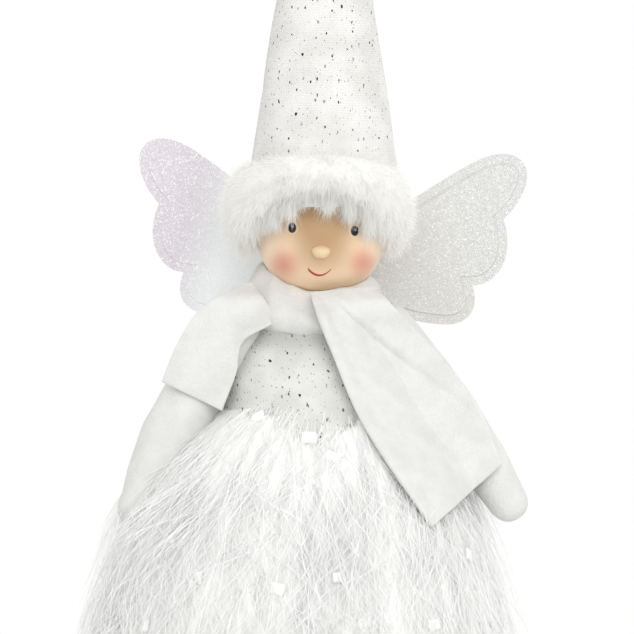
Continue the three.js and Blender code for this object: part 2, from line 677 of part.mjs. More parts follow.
// A draped strip between two edges: its back face clears what it lies on, and its folds run along it
function drapedTail(tail) {
  const edge = (points) => new THREE.SplineCurve(points.map(([x, z]) => new THREE.Vector2(x, z)));
  const inner = edge(tail.inner);
  const outer = edge(tail.outer);
  const columns = TAIL_WIDTH_STEPS + 1;
  const rows = TAIL_STEPS + 1;
  const points = [];
  for (const layer of [0, FLEECE_THICKNESS]) {
    for (let row = 0; row < rows; row += 1) {
      const from = inner.getPoint(row / TAIL_STEPS);
      const to = outer.getPoint(row / TAIL_STEPS);
      for (let column = 0; column < columns; column += 1) {
        const across = column / TAIL_WIDTH_STEPS;
        const x = THREE.MathUtils.lerp(from.x, to.x, across);
        const height = NECK_HEIGHT + THREE.MathUtils.lerp(from.y, to.y, across);
        const fold = TAIL_FOLD * (1 - Math.cos(tail.folds * 2 * Math.PI * across));
        const front = tailFront(x, height, tail.isOverCollar) + fold + layer;
        points.push(new THREE.Vector3(x, -front, height));
      }
    }
  }
  const faces = [];
  const quad = (a, b, c, d) => faces.push([a, b, c], [a, c, d]);
  const face = rows * columns;
  for (let row = 0; row < TAIL_STEPS; row += 1) {
    for (let column = 0; column < TAIL_WIDTH_STEPS; column += 1) {
      const a = row * columns + column;
      quad(a, a + 1, a + 1 + columns, a + columns);
      quad(face + a, face + a + columns, face + a + 1 + columns, face + a + 1);
    }
    const first = row * columns;
    const last = first + TAIL_WIDTH_STEPS;
    quad(first, first + columns, face + first + columns, face + first);
    quad(last, face + last, face + last + columns, last + columns);
  }
  for (let column = 0; column < TAIL_WIDTH_STEPS; column += 1) {
    const end = TAIL_STEPS * columns + column;
    quad(column, face + column, face + column + 1, column + 1);
    quad(end, end + 1, face + end + 1, face + end);
  }
  return meshFrom(points, faces);
}

// Outline of one wing in its own plane, drawn outwards from its root by an inset from its edge
function wingOutline(side, inset) {
  const path = new THREE.Path();
  path.moveTo(0, WING_ROOT_BOTTOM);
  WING_EDGE.forEach((curve) => path.bezierCurveTo(...curve.flat()));
  const points = path.getPoints(WING_CURVE_STEPS);
  const count = points.length;
  const inward = points.map((point, i) => {
    const before = points[(i + count - 1) % count];
    const after = points[(i + 1) % count];
    const normal = new THREE.Vector2(before.y - after.y, after.x - before.x).normalize();
    return new THREE.Vector2(side * (point.x + inset * normal.x), point.y + inset * normal.y);
  });
  return new THREE.Shape(inward);
}

// A flat piece drawn in the front view, from one depth to another behind the pair's front face
function flatPiece(shape, front, thickness) {
  const geometry = new THREE.ExtrudeGeometry(shape, { depth: thickness, bevelEnabled: false });
  return geometry.rotateX(Math.PI / 2).translate(0, front + thickness, 0);
}

// Pair of wings on its patch, sewn a little askew behind the collar
function addWings() {
  const pair = new THREE.Group();
  const collarBack = COLLAR_BACKWARD + COLLAR_OUTER_RADIUS + CLEARANCE - WING_SEAT;
  pair.position.set(WING_SHIFT, collarBack, HEAD_HEIGHT - WING_BELOW_HEAD);
  pair.rotation.y = WING_TILT;
  const coreFront = WING_SHEET + WING_LAYER_GAP;
  const backFront = coreFront + WING_CORE + WING_LAYER_GAP;
  const depth = backFront + WING_SHEET;
  const patchShape = new THREE.Shape([
    new THREE.Vector2(-PATCH_HALF_WIDTH, PATCH_BOTTOM),
    new THREE.Vector2(PATCH_HALF_WIDTH, PATCH_BOTTOM),
    new THREE.Vector2(PATCH_HALF_WIDTH, WING_ROOT_TOP),
    new THREE.Vector2(-PATCH_HALF_WIDTH, WING_ROOT_TOP),
  ]);
  addPiece(pair, 'wing_patch', flatPiece(patchShape, 0, depth), GLITTER_SHEET);
  for (const [name, side] of [['right', -1], ['left', 1]]) {
    const wing = new THREE.Group();
    wing.position.set(side * (PATCH_HALF_WIDTH + HINGE_GAP), depth, 0);
    wing.rotation.z = side * WING_SWEEP;
    const outline = wingOutline(side, 0);
    const core = flatPiece(wingOutline(side, WING_SEAM), coreFront - depth, WING_CORE);
    addPiece(wing, `${name}_wing_front`, flatPiece(outline, -depth, WING_SHEET), GLITTER_SHEET);
    addPiece(wing, `${name}_wing_core`, core, GREY_CARD);
    addPiece(wing, `${name}_wing_back`, flatPiece(outline, backFront - depth, WING_SHEET), GLITTER_SHEET);
    pair.add(wing);
  }
  angel.add(pair);
}

addBase();
addNeckPost();
addBody();
addSkirt();
addHead();
addHat();
addCollar();
addArm('right', -1, RIGHT_ARM_SPREAD);
addArm('left', 1, LEFT_ARM_SPREAD);
addPiece(angel, 'scarf_short_tail', cut(drapedTail(SHORT_TAIL), collarLoop(TUCK_GAP)), WHITE_FLEECE);
addPiece(angel, 'scarf_long_tail', drapedTail(LONG_TAIL), WHITE_FLEECE);
addWings();

export default angel;
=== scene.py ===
import math

import bpy
import numpy as np
from mathutils import Matrix, Vector


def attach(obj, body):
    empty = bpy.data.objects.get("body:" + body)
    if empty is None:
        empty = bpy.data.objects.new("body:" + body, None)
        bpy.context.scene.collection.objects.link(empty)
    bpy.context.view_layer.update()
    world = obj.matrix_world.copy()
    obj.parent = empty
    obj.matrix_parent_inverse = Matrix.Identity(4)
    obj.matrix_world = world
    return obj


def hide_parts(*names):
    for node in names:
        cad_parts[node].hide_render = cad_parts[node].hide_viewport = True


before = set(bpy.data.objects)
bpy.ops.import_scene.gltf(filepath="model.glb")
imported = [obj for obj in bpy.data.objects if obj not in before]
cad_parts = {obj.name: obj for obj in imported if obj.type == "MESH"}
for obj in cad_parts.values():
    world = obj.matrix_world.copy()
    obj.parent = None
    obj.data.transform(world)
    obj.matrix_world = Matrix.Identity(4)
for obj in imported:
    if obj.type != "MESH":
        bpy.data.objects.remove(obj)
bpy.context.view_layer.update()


# Base: a disc of pressed wool felt glued under a round board, which carries a rolled card cone.
# A calico bag of sand lies on the board inside the cone, so that the soft figure stands.
MM = 0.001


def add_node(tree, kind, inputs=None, **settings):
    node = tree.nodes.new("ShaderNode" + kind)
    for name, value in settings.items():
        setattr(node, name, value)
    for name, value in (inputs or {}).items():
        if isinstance(value, bpy.types.NodeSocket):
            tree.links.new(value, node.inputs[name])
        else:
            node.inputs[name].default_value = value
    return node


def maths(tree, operation, *terms):
    return add_node(tree, "Math", dict(enumerate(terms)), operation=operation).outputs[0]


def times(tree, first, second):
    return maths(tree, "MULTIPLY", first, second)


def scaled(tree, value, factor, plus):
    return maths(tree, "MULTIPLY_ADD", value, factor, plus)


def fade(tree, value, start, end):
    steps = {"Value": value, "From Min": start, "From Max": end}
    return add_node(tree, "MapRange", steps, interpolation_type="SMOOTHSTEP").outputs[0]


def linear(shade):
    value = shade / 255
    return value / 12.92 if value < 0.04045 else ((value + 0.055) / 1.055) ** 2.4


def mixed(tree, share, *colours):
    first, second = (
        colour if isinstance(colour, bpy.types.NodeSocket) else (*map(linear, colour), 1.0)
        for colour in colours
    )
    return add_node(tree, "Mix", {0: share, 6: first, 7: second}, data_type="RGBA").outputs[2]


def noise(tree, vector, scale, detail, **inputs):
    inputs.update({"Vector": vector, "Scale": scale, "Detail": detail})
    return add_node(tree, "TexNoise", inputs).outputs


def link(tree, sockets, **sources):
    for name, source in sources.items():
        tree.links.new(source, sockets[name.replace("_", " ").title()])


def start_group(name, inputs, outputs):
    group = bpy.data.node_groups.new(name, "ShaderNodeTree")
    for direction, sockets in (("INPUT", inputs), ("OUTPUT", outputs)):
        for socket in sockets:
            kind = "NodeSocketVector" if socket == "Vector" else "NodeSocketFloat"
            group.interface.new_socket(socket, in_out=direction, socket_type=kind)
    return group, group.nodes.new("NodeGroupInput").outputs, group.nodes.new("NodeGroupOutput").inputs


def use_group(tree, group, **inputs):
    return add_node(tree, "Group", inputs, node_tree=group).outputs


def start_material(name, roughness, **sockets):
    material = bpy.data.materials.new(name)
    material.use_nodes = True
    tree = material.node_tree
    shader = tree.nodes["Principled BSDF"]
    shader.inputs["Roughness"].default_value = roughness
    for socket, value in sockets.items():
        shader.inputs[socket.replace("_", " ").title()].default_value = value
    where = add_node(tree, "TexCoord").outputs
    return material, tree, shader.inputs, where


def surface(tree, shader, height, depth, strength=1.0, **sources):
    bump = add_node(tree, "Bump", {"Height": height, "Distance": depth * MM, "Strength": strength})
    link(tree, shader, normal=bump.outputs[0], **sources)


def make_fibre_pile():
    group, given, made = start_group("fibre_pile", ("Vector", "Size"), ("Height", "Shade"))
    scale = maths(group, "DIVIDE", 1.0 / MM, given["Size"])
    fibres = noise(group, given["Vector"], scale, 5.0, Roughness=0.65)[0]
    clouds = noise(group, given["Vector"], times(group, scale, 0.14), 2.0)[0]
    link(group, made, height=fibres, shade=fade(group, clouds, 0.3, 0.7))
    return group


fibre_pile = make_fibre_pile()


def pile_material(name, size, dark, light, depth, roughness=0.95, **sockets):
    material, tree, shader, where = start_material(name, roughness, **sockets)
    pile = use_group(tree, fibre_pile, Vector=where["Object"], Size=size)
    grain = scaled(tree, pile["Height"], 0.5, times(tree, pile["Shade"], 0.5))
    surface(tree, shader, pile["Height"], depth, base_color=mixed(tree, grain, dark, light))
    return material


def dress(material, *nodes):
    for node in nodes:
        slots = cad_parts[node].data.materials
        slots.clear()
        slots.append(material)


def belongs(piece, material, body, slot, *nodes):
    piece.data.materials.clear()
    piece.data.materials.append(material)
    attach(piece, body)
    if nodes:
        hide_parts(*nodes)


def shape_faces(piece, *steps):
    bpy.context.view_layer.objects.active = piece
    bpy.ops.object.mode_set(mode="EDIT")
    for step in steps:
        step()
    bpy.ops.object.mode_set(mode="OBJECT")


def face_outward():
    bpy.ops.mesh.select_all(action="SELECT")
    bpy.ops.mesh.normals_make_consistent(inside=False)


def apply_modifier(piece, kind, **settings):
    modifier = piece.modifiers.new(kind.lower(), kind)
    for name, value in settings.items():
        setattr(modifier, name, value)
    bpy.context.view_layer.objects.active = piece
    bpy.ops.object.modifier_apply(modifier=modifier.name)


def new_piece(name, add, **settings):
    bpy.ops.object.select_all(action="DESELECT")
    add(**settings)
    piece = bpy.context.object
    piece.name = piece.data.name = name
    bpy.ops.object.transform_apply(location=True, rotation=True, scale=True)
    return piece


def felt_disc():
    radius, thickness, edge = 60 * MM, 1.5 * MM, 0.5 * MM
    disc = new_piece(
        "felt_pad", bpy.ops.mesh.primitive_cylinder_add,
        vertices=128, radius=radius, depth=thickness, location=(0, 0, thickness / 2),
    )
    apply_modifier(disc, "BEVEL", width=edge, segments=3, limit_method="ANGLE")
    bpy.ops.object.shade_smooth_by_angle(angle=math.radians(50))
    return disc


belongs(
    felt_disc(),
    pile_material("pressed_felt", 0.9, (214, 212, 206), (240, 239, 234), 0.3),
    "figure", "white_knit", "base_felt",
)
grey_card = pile_material("grey_card", 1.4, (158, 150, 138), (192, 184, 170), 0.06, 0.85)
dress(grey_card, "base_board", "body_cone")
dress(pile_material("calico", 0.7, (196, 186, 164), (226, 218, 200), 0.15, 0.92), "ballast_bag")


# Inner parts: a turned plug in the cone's mouth, and a birch dowel that stands in it and holds the head.
# Both are pale wood with the grain along the post. Loose white wadding fills body, hat and arms.
def wood_material():
    material, tree, shader, where = start_material("pale_birch", 0.6)
    along_post = add_node(tree, "Mapping", {"Vector": where["Object"], "Scale": (900, 900, 45)})
    grain = noise(tree, along_post.outputs[0], 1.0, 4.0)[0]
    wood = mixed(tree, grain, (190, 152, 104), (232, 206, 164))
    surface(tree, shader, grain, 0.08, base_color=wood)
    return material


dress(wood_material(), "cone_plug", "neck_dowel")
wadding = pile_material("wadding", 2.2, (226, 226, 222), (250, 250, 247), 0.8, 1.0)
dress(wadding, "torso_stuffing", "hat_filling", "right_arm_filling", "left_arm_filling")


# Bodice: a tube of fine white knit drawn over the stuffed torso and gathered at waist and neck.
# Short black and silver foil threads are knitted in, and show as scattered upright specks.
BODICE_HEM, WAIST_HEIGHT, SHOULDER_HEIGHT, NECK_HEIGHT = 156.0, 166.0, 197.0, 206.0
WAIST_RADIUS, SHOULDER_WIDTH, SHOULDER_DEPTH, NECK_RADIUS, BODY_LEAN = 36.0, 16.5, 18.0, 9.0, 1.2
KNIT_THICKNESS, KNIT_STITCH = 0.9, 0.9


def close_seams():
    bpy.ops.mesh.select_all(action="SELECT")
    bpy.ops.mesh.remove_doubles(threshold=1e-6)


def sewn_cloth(name, around, along, place, *more):
    cloth = new_piece(
        name, bpy.ops.mesh.primitive_grid_add, x_subdivisions=around, y_subdivisions=along, size=1
    )
    flat = np.empty(len(cloth.data.vertices) * 3)
    cloth.data.vertices.foreach_get("co", flat)
    flat = flat.reshape(-1, 3) + 0.5
    spots, weave = place(flat[:, 0], flat[:, 1], *more)
    cloth.data.vertices.foreach_set("co", (np.stack(spots, axis=1) * MM).ravel())
    corners = np.empty(len(cloth.data.loops), dtype=int)
    cloth.data.loops.foreach_get("vertex_index", corners)
    weave = np.stack(weave, axis=1) * MM
    cloth.data.uv_layers.active.data.foreach_set("uv", weave[corners].ravel())
    cloth.data.update()
    shape_faces(cloth, close_seams, face_outward)
    bpy.ops.object.shade_smooth()
    return cloth


def full_turn(around):
    return (around - 0.5) * 2 * np.pi


def to_right(angle):
    return np.maximum(-np.sin(angle), 0)


def limited(share):
    return np.clip(share, 0, 1)


def bell(away, width):
    return np.exp(-((away / width) ** 2))


def body_half(height):
    rise = (height - WAIST_HEIGHT) / (SHOULDER_HEIGHT - WAIST_HEIGHT)
    swell = np.sin(np.pi * limited(rise))
    dome = np.sqrt(1 - limited((height - SHOULDER_HEIGHT) / (NECK_HEIGHT - SHOULDER_HEIGHT)) ** 2)
    low = height <= SHOULDER_HEIGHT
    halves = [
        np.where(
            low, WAIST_RADIUS - (WAIST_RADIUS - shoulder) * rise + swell,
            NECK_RADIUS + (shoulder - NECK_RADIUS) * dome,
        )
        for shoulder in (SHOULDER_WIDTH, SHOULDER_DEPTH)
    ]
    return *halves, -BODY_LEAN * np.where(low, rise, dome)


def bodice_place(around, along):
    straight, right_fullness, under = 0.82, 7, 0.3
    angle = full_turn(around)
    rise = np.minimum(along / straight, 1)
    closing = limited((along - straight) / (1 - straight)) * np.pi / 2
    height = BODICE_HEM + (SHOULDER_HEIGHT - BODICE_HEM) * rise
    height += (NECK_HEIGHT - SHOULDER_HEIGHT) * np.sin(closing)
    width, depth, centre = body_half(height)
    gathers = 0.5 * np.sin(9 * angle + 2.1 * np.sin(2 * angle)) * bell(along, 0.25)
    sag = 0.45 * np.sin(height * 0.55 + 3 * np.sin(angle)) * np.sin(np.pi * along)
    rounded = right_fullness * limited((height - WAIST_HEIGHT) / 16) * np.cos(closing) * to_right(angle)
    x = centre + (width + rounded + gathers + sag - under) * np.sin(angle)
    y = -(depth + gathers + sag - under) * np.cos(angle)
    return (x, y, height), (angle * width, height)


def make_foil_specks():
    group, given, made = start_group(
        "foil_specks", ("Vector", "Spacing", "Share", "Size"), ("Mask", "Tone")
    )

    def vectors(operation, inputs):
        return add_node(group, "VectorMath", inputs, operation=operation).outputs[0]

    step = maths(group, "DIVIDE", 1.0 / MM, given["Spacing"])
    upright = vectors("MULTIPLY", {0: given["Vector"], 1: (1.0, 0.62, 1.0)})
    spots = vectors("SCALE", {0: upright, "Scale": step})
    crumple = vectors("SCALE", {0: noise(group, spots, 3.1, 1.0)["Color"], "Scale": 0.4})
    cells = add_node(
        group, "TexVoronoi", {"Vector": vectors("ADD", {0: spots, 1: crumple}), "Scale": 1.0},
        voronoi_dimensions="2D",
    ).outputs
    picks = add_node(group, "SeparateColor", {0: cells["Color"]}).outputs
    radius = times(group, given["Size"], scaled(group, picks[1], 0.8, 0.5))
    spot = fade(group, cells["Distance"], radius, times(group, radius, 0.6))
    chosen = maths(group, "LESS_THAN", picks[0], given["Share"])
    link(group, made, mask=times(group, spot, chosen), tone=picks[2])
    return group


def make_knit_stitches():
    group, given, made = start_group("knit_stitches", ("Vector", "Stitch"), ("Height",))

    def ridges(value, pace):
        return maths(group, "ABSOLUTE", maths(group, "SINE", times(group, value, pace * math.pi)))

    scale = maths(group, "DIVIDE", 1.0 / MM, given["Stitch"])
    spread = add_node(group, "VectorMath", {0: given["Vector"], "Scale": scale}, operation="SCALE")
    axes = add_node(group, "SeparateXYZ", {0: spread.outputs[0]}).outputs
    column = maths(group, "PINGPONG", axes[0], 0.5)
    course = ridges(scaled(group, column, 1.1, axes[1]), 1)
    link(group, made, height=scaled(group, ridges(axes[0], 2), 0.6, course))
    return group


foil_specks = make_foil_specks()
knit_stitches = make_knit_stitches()


def specked_knit(name, dark, light, share, plain_below, collar_shadow_above=None):
    material, tree, shader, where = start_material(name, 0.85)
    level = add_node(tree, "SeparateXYZ", {0: where["Object"]}).outputs[2]
    dense = fade(tree, level, (plain_below - 10) * MM, (plain_below + 8) * MM)
    stitches = use_group(tree, knit_stitches, Vector=where["UV"], Stitch=KNIT_STITCH)[0]
    pile = use_group(tree, fibre_pile, Vector=where["Object"], Size=1.6)
    yarn = mixed(tree, pile["Shade"], dark, light)
    # Painted shadow: above this height the knit is mixed towards grey, for the shade the collar casts on
    # the top of the bodice.
    if collar_shadow_above:
        folds = fade(tree, level, collar_shadow_above * MM, (collar_shadow_above + 7) * MM)
        yarn = mixed(tree, times(tree, folds, 0.7), yarn, (188, 188, 184))
    coarse, fine = (
        use_group(
            tree, foil_specks,
            Vector=where["UV"], Spacing=spacing, Share=times(tree, dense, part), Size=size,
        )
        for spacing, part, size in ((2.6, share, 0.14), (1.5, 0.9 * share, 0.12))
    )
    foil = maths(tree, "MAXIMUM", coarse["Mask"], fine["Mask"])
    tone = maths(tree, "MAXIMUM", coarse["Tone"], times(tree, fine["Mask"], 0.75))
    foil_colour = mixed(tree, fade(tree, tone, 0.4, 0.9), (26, 26, 28), (176, 178, 182))
    surface(
        tree, shader, scaled(tree, pile["Height"], 0.8, stitches), 0.14,
        base_color=mixed(tree, foil, yarn, foil_colour),
        metallic=times(tree, foil, 0.6), roughness=scaled(tree, foil, -0.5, 0.85),
    )
    return material


bodice = sewn_cloth("bodice_knit", 120, 48, bodice_place)
apply_modifier(bodice, "SOLIDIFY", thickness=KNIT_THICKNESS * MM, offset=-1.0)
# The bodice is painted darker from 188 mm up, as the collar's shadow.
belongs(
    bodice,
    specked_knit("bodice_knit", (222, 222, 218), (236, 236, 232), 0.52, 150, 188),
    "figure", "specked_knit", "bodice",
)


# Skirt lining: a bell of white knit gathered at the waist seam and hemmed just above the floor.
# The tapes of fringe are sewn round it.
LINING_TOP, HEM_HEIGHT, HEM_RADIUS = 165.7, 3.0, 70.0
LINING_THICKNESS, LINING_STITCH = 0.7, 1.1


def lining_radius(height):
    fall = limited((LINING_TOP - height) / (LINING_TOP - HEM_HEIGHT))
    return WAIST_RADIUS + (HEM_RADIUS - WAIST_RADIUS) * np.sin(fall * np.pi / 2)


def about_axis(radius, angle):
    return radius * np.sin(angle), -radius * np.cos(angle)


def lining_place(around, along):
    angle = full_turn(around)
    height = HEM_HEIGHT + (LINING_TOP - HEM_HEIGHT) * along
    folds = 0.7 * np.sin(22 * angle + 1.3 * np.sin(3 * angle)) * (1 - along) ** 0.5
    radius = lining_radius(height) - 0.8 + folds
    return (*about_axis(radius, angle), height), (angle * 55, height)


def plain_knit():
    material, tree, shader, where = start_material("white_knit", 0.9)
    stitches = use_group(tree, knit_stitches, Vector=where["UV"], Stitch=LINING_STITCH)[0]
    yarn = mixed(tree, stitches, (226, 225, 222), (242, 241, 238))
    surface(tree, shader, stitches, 0.2, base_color=yarn)
    return material


lining = sewn_cloth("skirt_lining_knit", 176, 60, lining_place)
apply_modifier(lining, "SOLIDIFY", thickness=LINING_THICKNESS * MM, offset=-1.0)
belongs(lining, plain_knit(), "figure", "white_knit", "skirt_lining")


# Fringe: seven tapes of long satin filaments, each sewn round the lining so that it falls over the next.
# The filaments are heat cut, lie in loose locks and stand out most on the angel's right. Stray wisps
# cross the right hand, and a few snips of narrow white ribbon are caught in the locks.
TIER_STRANDS, TIER_PITCH = (3400, 2500, 2300, 2200, 2200, 2600, 3400), 21.45
LOCKS, LOCK_LENGTH, STRAND_LENGTH, LONGEST_STAND, WISP_SHARE = 90, 37, 42, 10, 0.22


def place_in_scene(name, data):
    thing = bpy.data.objects.new(name, data)
    bpy.context.scene.collection.objects.link(thing)
    return thing


def filaments(name, paths, widths, tones):
    count, points = paths.shape[:2]
    rings = points - 1
    along = np.gradient(paths, axis=1)
    along /= np.linalg.norm(along, axis=2, keepdims=True)
    lean = np.random.default_rng(11).normal(size=(count, 1, 3))
    side = np.cross(along, lean)
    side /= np.linalg.norm(side, axis=2, keepdims=True)
    rise = np.cross(along, side)
    corners = np.arange(3) * 2 * np.pi / 3
    wide, high = np.cos(corners)[:, None], np.sin(corners)[:, None]
    ring = wide * side[:, :-1, None] + high * rise[:, :-1, None]
    ring = paths[:, :-1, None] + ring * (widths[:, :-1, None, None] / 2)
    spots = np.concatenate([ring.reshape(count, rings * 3, 3), paths[:, -1:, :]], axis=1)
    each = rings * 3 + 1
    faces = [(0, 2, 1)]
    for level in range(rings - 1):
        for corner in range(3):
            a, b = level * 3 + corner, level * 3 + (corner + 1) % 3
            faces += [(a, b, b + 3), (a, b + 3, a + 3)]
    top = (rings - 1) * 3
    faces += [(top + corner, top + (corner + 1) % 3, each - 1) for corner in range(3)]
    faces = (np.array(faces)[None] + (np.arange(count) * each)[:, None, None]).reshape(-1, 3)
    mesh = bpy.data.meshes.new(name)
    mesh.from_pydata(spots.reshape(-1, 3) * MM, [], faces)
    tone = mesh.attributes.new("tone", "FLOAT", "POINT")
    tone.data.foreach_set("value", np.repeat(tones, each))
    return place_in_scene(name, mesh)


def satin_fibre(name, dark, light, roughness):
    material, tree, shader, where = start_material(name, roughness)
    tone = add_node(tree, "Attribute", attribute_name="tone").outputs["Fac"]
    glints = noise(tree, where["Object"], 160.0, 3.0)[0]
    shade = scaled(tree, glints, 0.4, times(tree, tone, 0.6))
    gloss = scaled(tree, tone, 0.2, roughness - 0.1)
    link(tree, shader, base_color=mixed(tree, shade, dark, light), roughness=gloss)
    return material


def tier_root(tier):
    return LINING_TOP - tier * TIER_PITCH


def fringe_bed(angle, height):
    loft, right_loft, left_trim, scarf_loft = 6.4, 12, 2.2, 3.4
    depth = limited((LINING_TOP - height) / 40)
    wide = right_loft * limited(height / 100) ** 0.7 * to_right(angle)
    slim = left_trim * np.maximum(np.sin(angle), 0)
    under_scarf = scarf_loft * bell(np.sin(angle / 2 - 0.26), 0.2)
    above = np.maximum(height - LINING_TOP, 0)
    lofty = (loft + wide - slim + under_scarf) * depth * (2 - depth)
    return lining_radius(height) + 2.6 - 1.1 * above + lofty


def parting(angle):
    return 9 * bell(np.sin(angle / 2 + 0.02), 0.16)


def lock_place(around, along, tier):
    angle = full_turn(around)
    fall = np.minimum(along, 1 - along) * 2
    tufts = np.sin(29 * angle + 3 * np.sin(5 * angle)) + np.sin(47 * angle + 2 * np.sin(7 * angle))
    root = tier_root(tier) + 0.9 * tufts
    if tier == 0:
        root = root + 2.5 - parting(angle)
    ragged = 1.8 * np.sin(67 * angle + 9 * np.sin(3 * angle)) * np.sin(11 * angle)
    lowest = 5 + ragged + np.sin(19 * angle)
    height = root - np.minimum(LOCK_LENGTH + 2 * np.sin(17 * angle + tier), root - lowest) * fall
    ridges = np.sin(33 * angle + tier) + np.sin(53 * angle + 2.3 * tier + 2 * np.sin(3 * angle))
    face = fringe_bed(angle, height) + (0.7 + 0.3 * ridges) * np.sin(np.pi * fall)
    inner = np.minimum(lining_radius(height) + 0.3, face - 0.6)
    tucked = np.sqrt(limited(fall / 0.15))
    thin = np.where(along <= 0.5, tucked, 1 - np.clip(1.05 - fall, 0.05, 1) ** 0.5)
    radius = inner + (face - inner) * thin
    return (*about_axis(radius, angle), height), (angle * 60, along * 80)


def fringe_paths(tier, count):
    luck = np.random.default_rng(100 + tier)
    lock = luck.integers(0, LOCKS, count)
    lock_angle = (np.arange(LOCKS) + luck.uniform(-0.4, 0.4, LOCKS)) / LOCKS * 2 * np.pi
    angle = lock_angle[lock] + luck.normal(0, 0.06, count)
    wisp = luck.random(count) < WISP_SHARE

    def varied(middle, by_lock, own, in_wisps=1):
        shared = luck.normal(middle, by_lock, LOCKS)[lock]
        return shared + luck.normal(0, own, count) * np.where(wisp, in_wisps, 1)

    sway = varied(0, 0.15, 0.15, 2.2)
    length = varied(STRAND_LENGTH, 5, 7) + np.where(wisp, 12, 0)
    start = tier_root(tier) - TIER_PITCH * luck.random(count) ** (1.7 if tier == 0 else 1.0)
    if tier == 0:
        start += luck.uniform(0, 6, count) + 4 * to_right(angle)
        start -= parting(angle) * (luck.random(count) < 0.8)
    drop = np.minimum(length, start - 1.2 - luck.gamma(1.5, 1.6, count))
    cut_short = np.clip(drop / length, 0.2, 1)
    stand = np.clip(varied(1.8, 0.9, 1.1), 0.3, 6) + np.where(wisp, luck.uniform(0, 5, count), 0)
    flare = 1 + 0.8 * to_right(angle) + np.where(wisp, 0.3 * np.abs(np.sin(angle)), 0)
    stand = np.minimum(stand * flare, LONGEST_STAND) * cut_short
    sway, curl = sway * cut_short, varied(0, 0.03, 0.035, 3) * cut_short
    pace, phase = luck.uniform(4, 9, count), luck.uniform(0, 2 * np.pi, count)
    along = np.linspace(0, 1, 9)[None]
    height = np.maximum(start[:, None] - drop[:, None] * along**1.1, 1.0)
    wave = np.sin(pace[:, None] * along + phase[:, None]) - np.sin(phase[:, None])
    turn = angle[:, None] + sway[:, None] * along + curl[:, None] * wave
    bow = luck.uniform(0, 0.6, count) + np.where(wisp, luck.uniform(0, 2.5, count), 0)
    off = 0.4 + stand[:, None] * along**1.5 + bow[:, None] * np.sin(np.pi * along)
    paths = np.stack([*about_axis(fringe_bed(turn, height) + off, turn), height], axis=2)
    widths = luck.uniform(0.09, 0.17, count) + np.where(wisp, 0.11, 0)
    widths = widths * (1.3 if tier > 4 else 1.0)
    tones = 0.5 * luck.random(LOCKS)[lock] + 0.5 * luck.random(count)
    return paths, widths[:, None] * (1 - 0.55 * along**2), tones


def stray_paths():
    luck = np.random.default_rng(121)
    tufts, near_hand, each, furthest = 250, 90, 7, 95.0
    by_hand = np.arange(tufts) < near_hand
    angle = np.where(by_hand, luck.uniform(-1.08, -0.6, tufts), luck.normal(-1.1, 1.3, tufts))
    height = np.where(by_hand, luck.uniform(128, 160, tufts), luck.uniform(12, 116, tufts))
    heading = np.where(by_hand, luck.uniform(-1.55, -1.0, tufts), angle + luck.normal(0, 0.35, tufts))
    dip = luck.uniform(0.45, 1.0, tufts)
    reach = np.where(by_hand, luck.uniform(14, 30, tufts), luck.uniform(9, 18, tufts))
    tuft = np.repeat(np.arange(tufts), each)
    count = len(tuft)
    angle = angle[tuft] + luck.normal(0, 0.03, count)
    height = height[tuft] + luck.normal(0, 1.5, count)
    heading = heading[tuft] + luck.normal(0, 0.14, count)
    dip = dip[tuft] + luck.normal(0, 0.12, count)
    reach = reach[tuft] * luck.uniform(0.55, 1.1, count)
    root = fringe_bed(angle, height) - 0.5
    out = np.minimum(reach * np.cos(dip), furthest - root)
    bend = luck.normal(0, 1.1, count)
    along = np.linspace(0, 1, 7)[None]
    gone, aside = out[:, None] * along, bend[:, None] * np.sin(np.pi * along)
    x, y = (start[:, None] for start in about_axis(root, angle))
    ahead_x, ahead_y = (ahead[:, None] for ahead in about_axis(1, heading))
    fall = height[:, None] - (reach * np.sin(dip))[:, None] * along - 3 * along**2
    x, y = x + gone * ahead_x - aside * ahead_y, y + gone * ahead_y + aside * ahead_x
    paths = np.stack([x, y, np.maximum(fall, 2)], axis=2)
    widths = luck.uniform(0.18, 0.34, count)[:, None] * (1 - 0.6 * along**2)
    return paths, widths, luck.random(count)


def massed_fibre():
    material, tree, shader, where = start_material("fringe_mass", 0.55)
    streaks = 0.0
    for lines, share in (((2600, 50, 1), 0.6), ((900, 24, 1), 0.4)):
        run = add_node(tree, "Mapping", {"Vector": where["UV"], "Scale": lines}).outputs[0]
        streaks = scaled(tree, noise(tree, run, 1.0, 4.0)[0], share, streaks)
    yarn = mixed(tree, fade(tree, streaks, 0.3, 0.6), (249, 249, 247), (255, 255, 253))
    surface(tree, shader, streaks, 0.2, 0.3, base_color=yarn)
    return material


satin = satin_fibre("fringe_satin", (251, 251, 250), (255, 255, 254), 0.45)
mass = massed_fibre()
for tier, count in enumerate(TIER_STRANDS):
    locks = sewn_cloth(f"fringe_{tier + 1}_locks", 240, 28, lock_place, tier)
    belongs(locks, mass, "figure", "fringe_yarn", f"fringe_tier_{tier + 1}")
    loose = filaments(f"fringe_{tier + 1}_filaments", *fringe_paths(tier, count))
    belongs(loose, satin, "figure", "fringe_yarn")
belongs(filaments("fringe_stray_wisps", *stray_paths()), satin, "figure", "fringe_yarn")


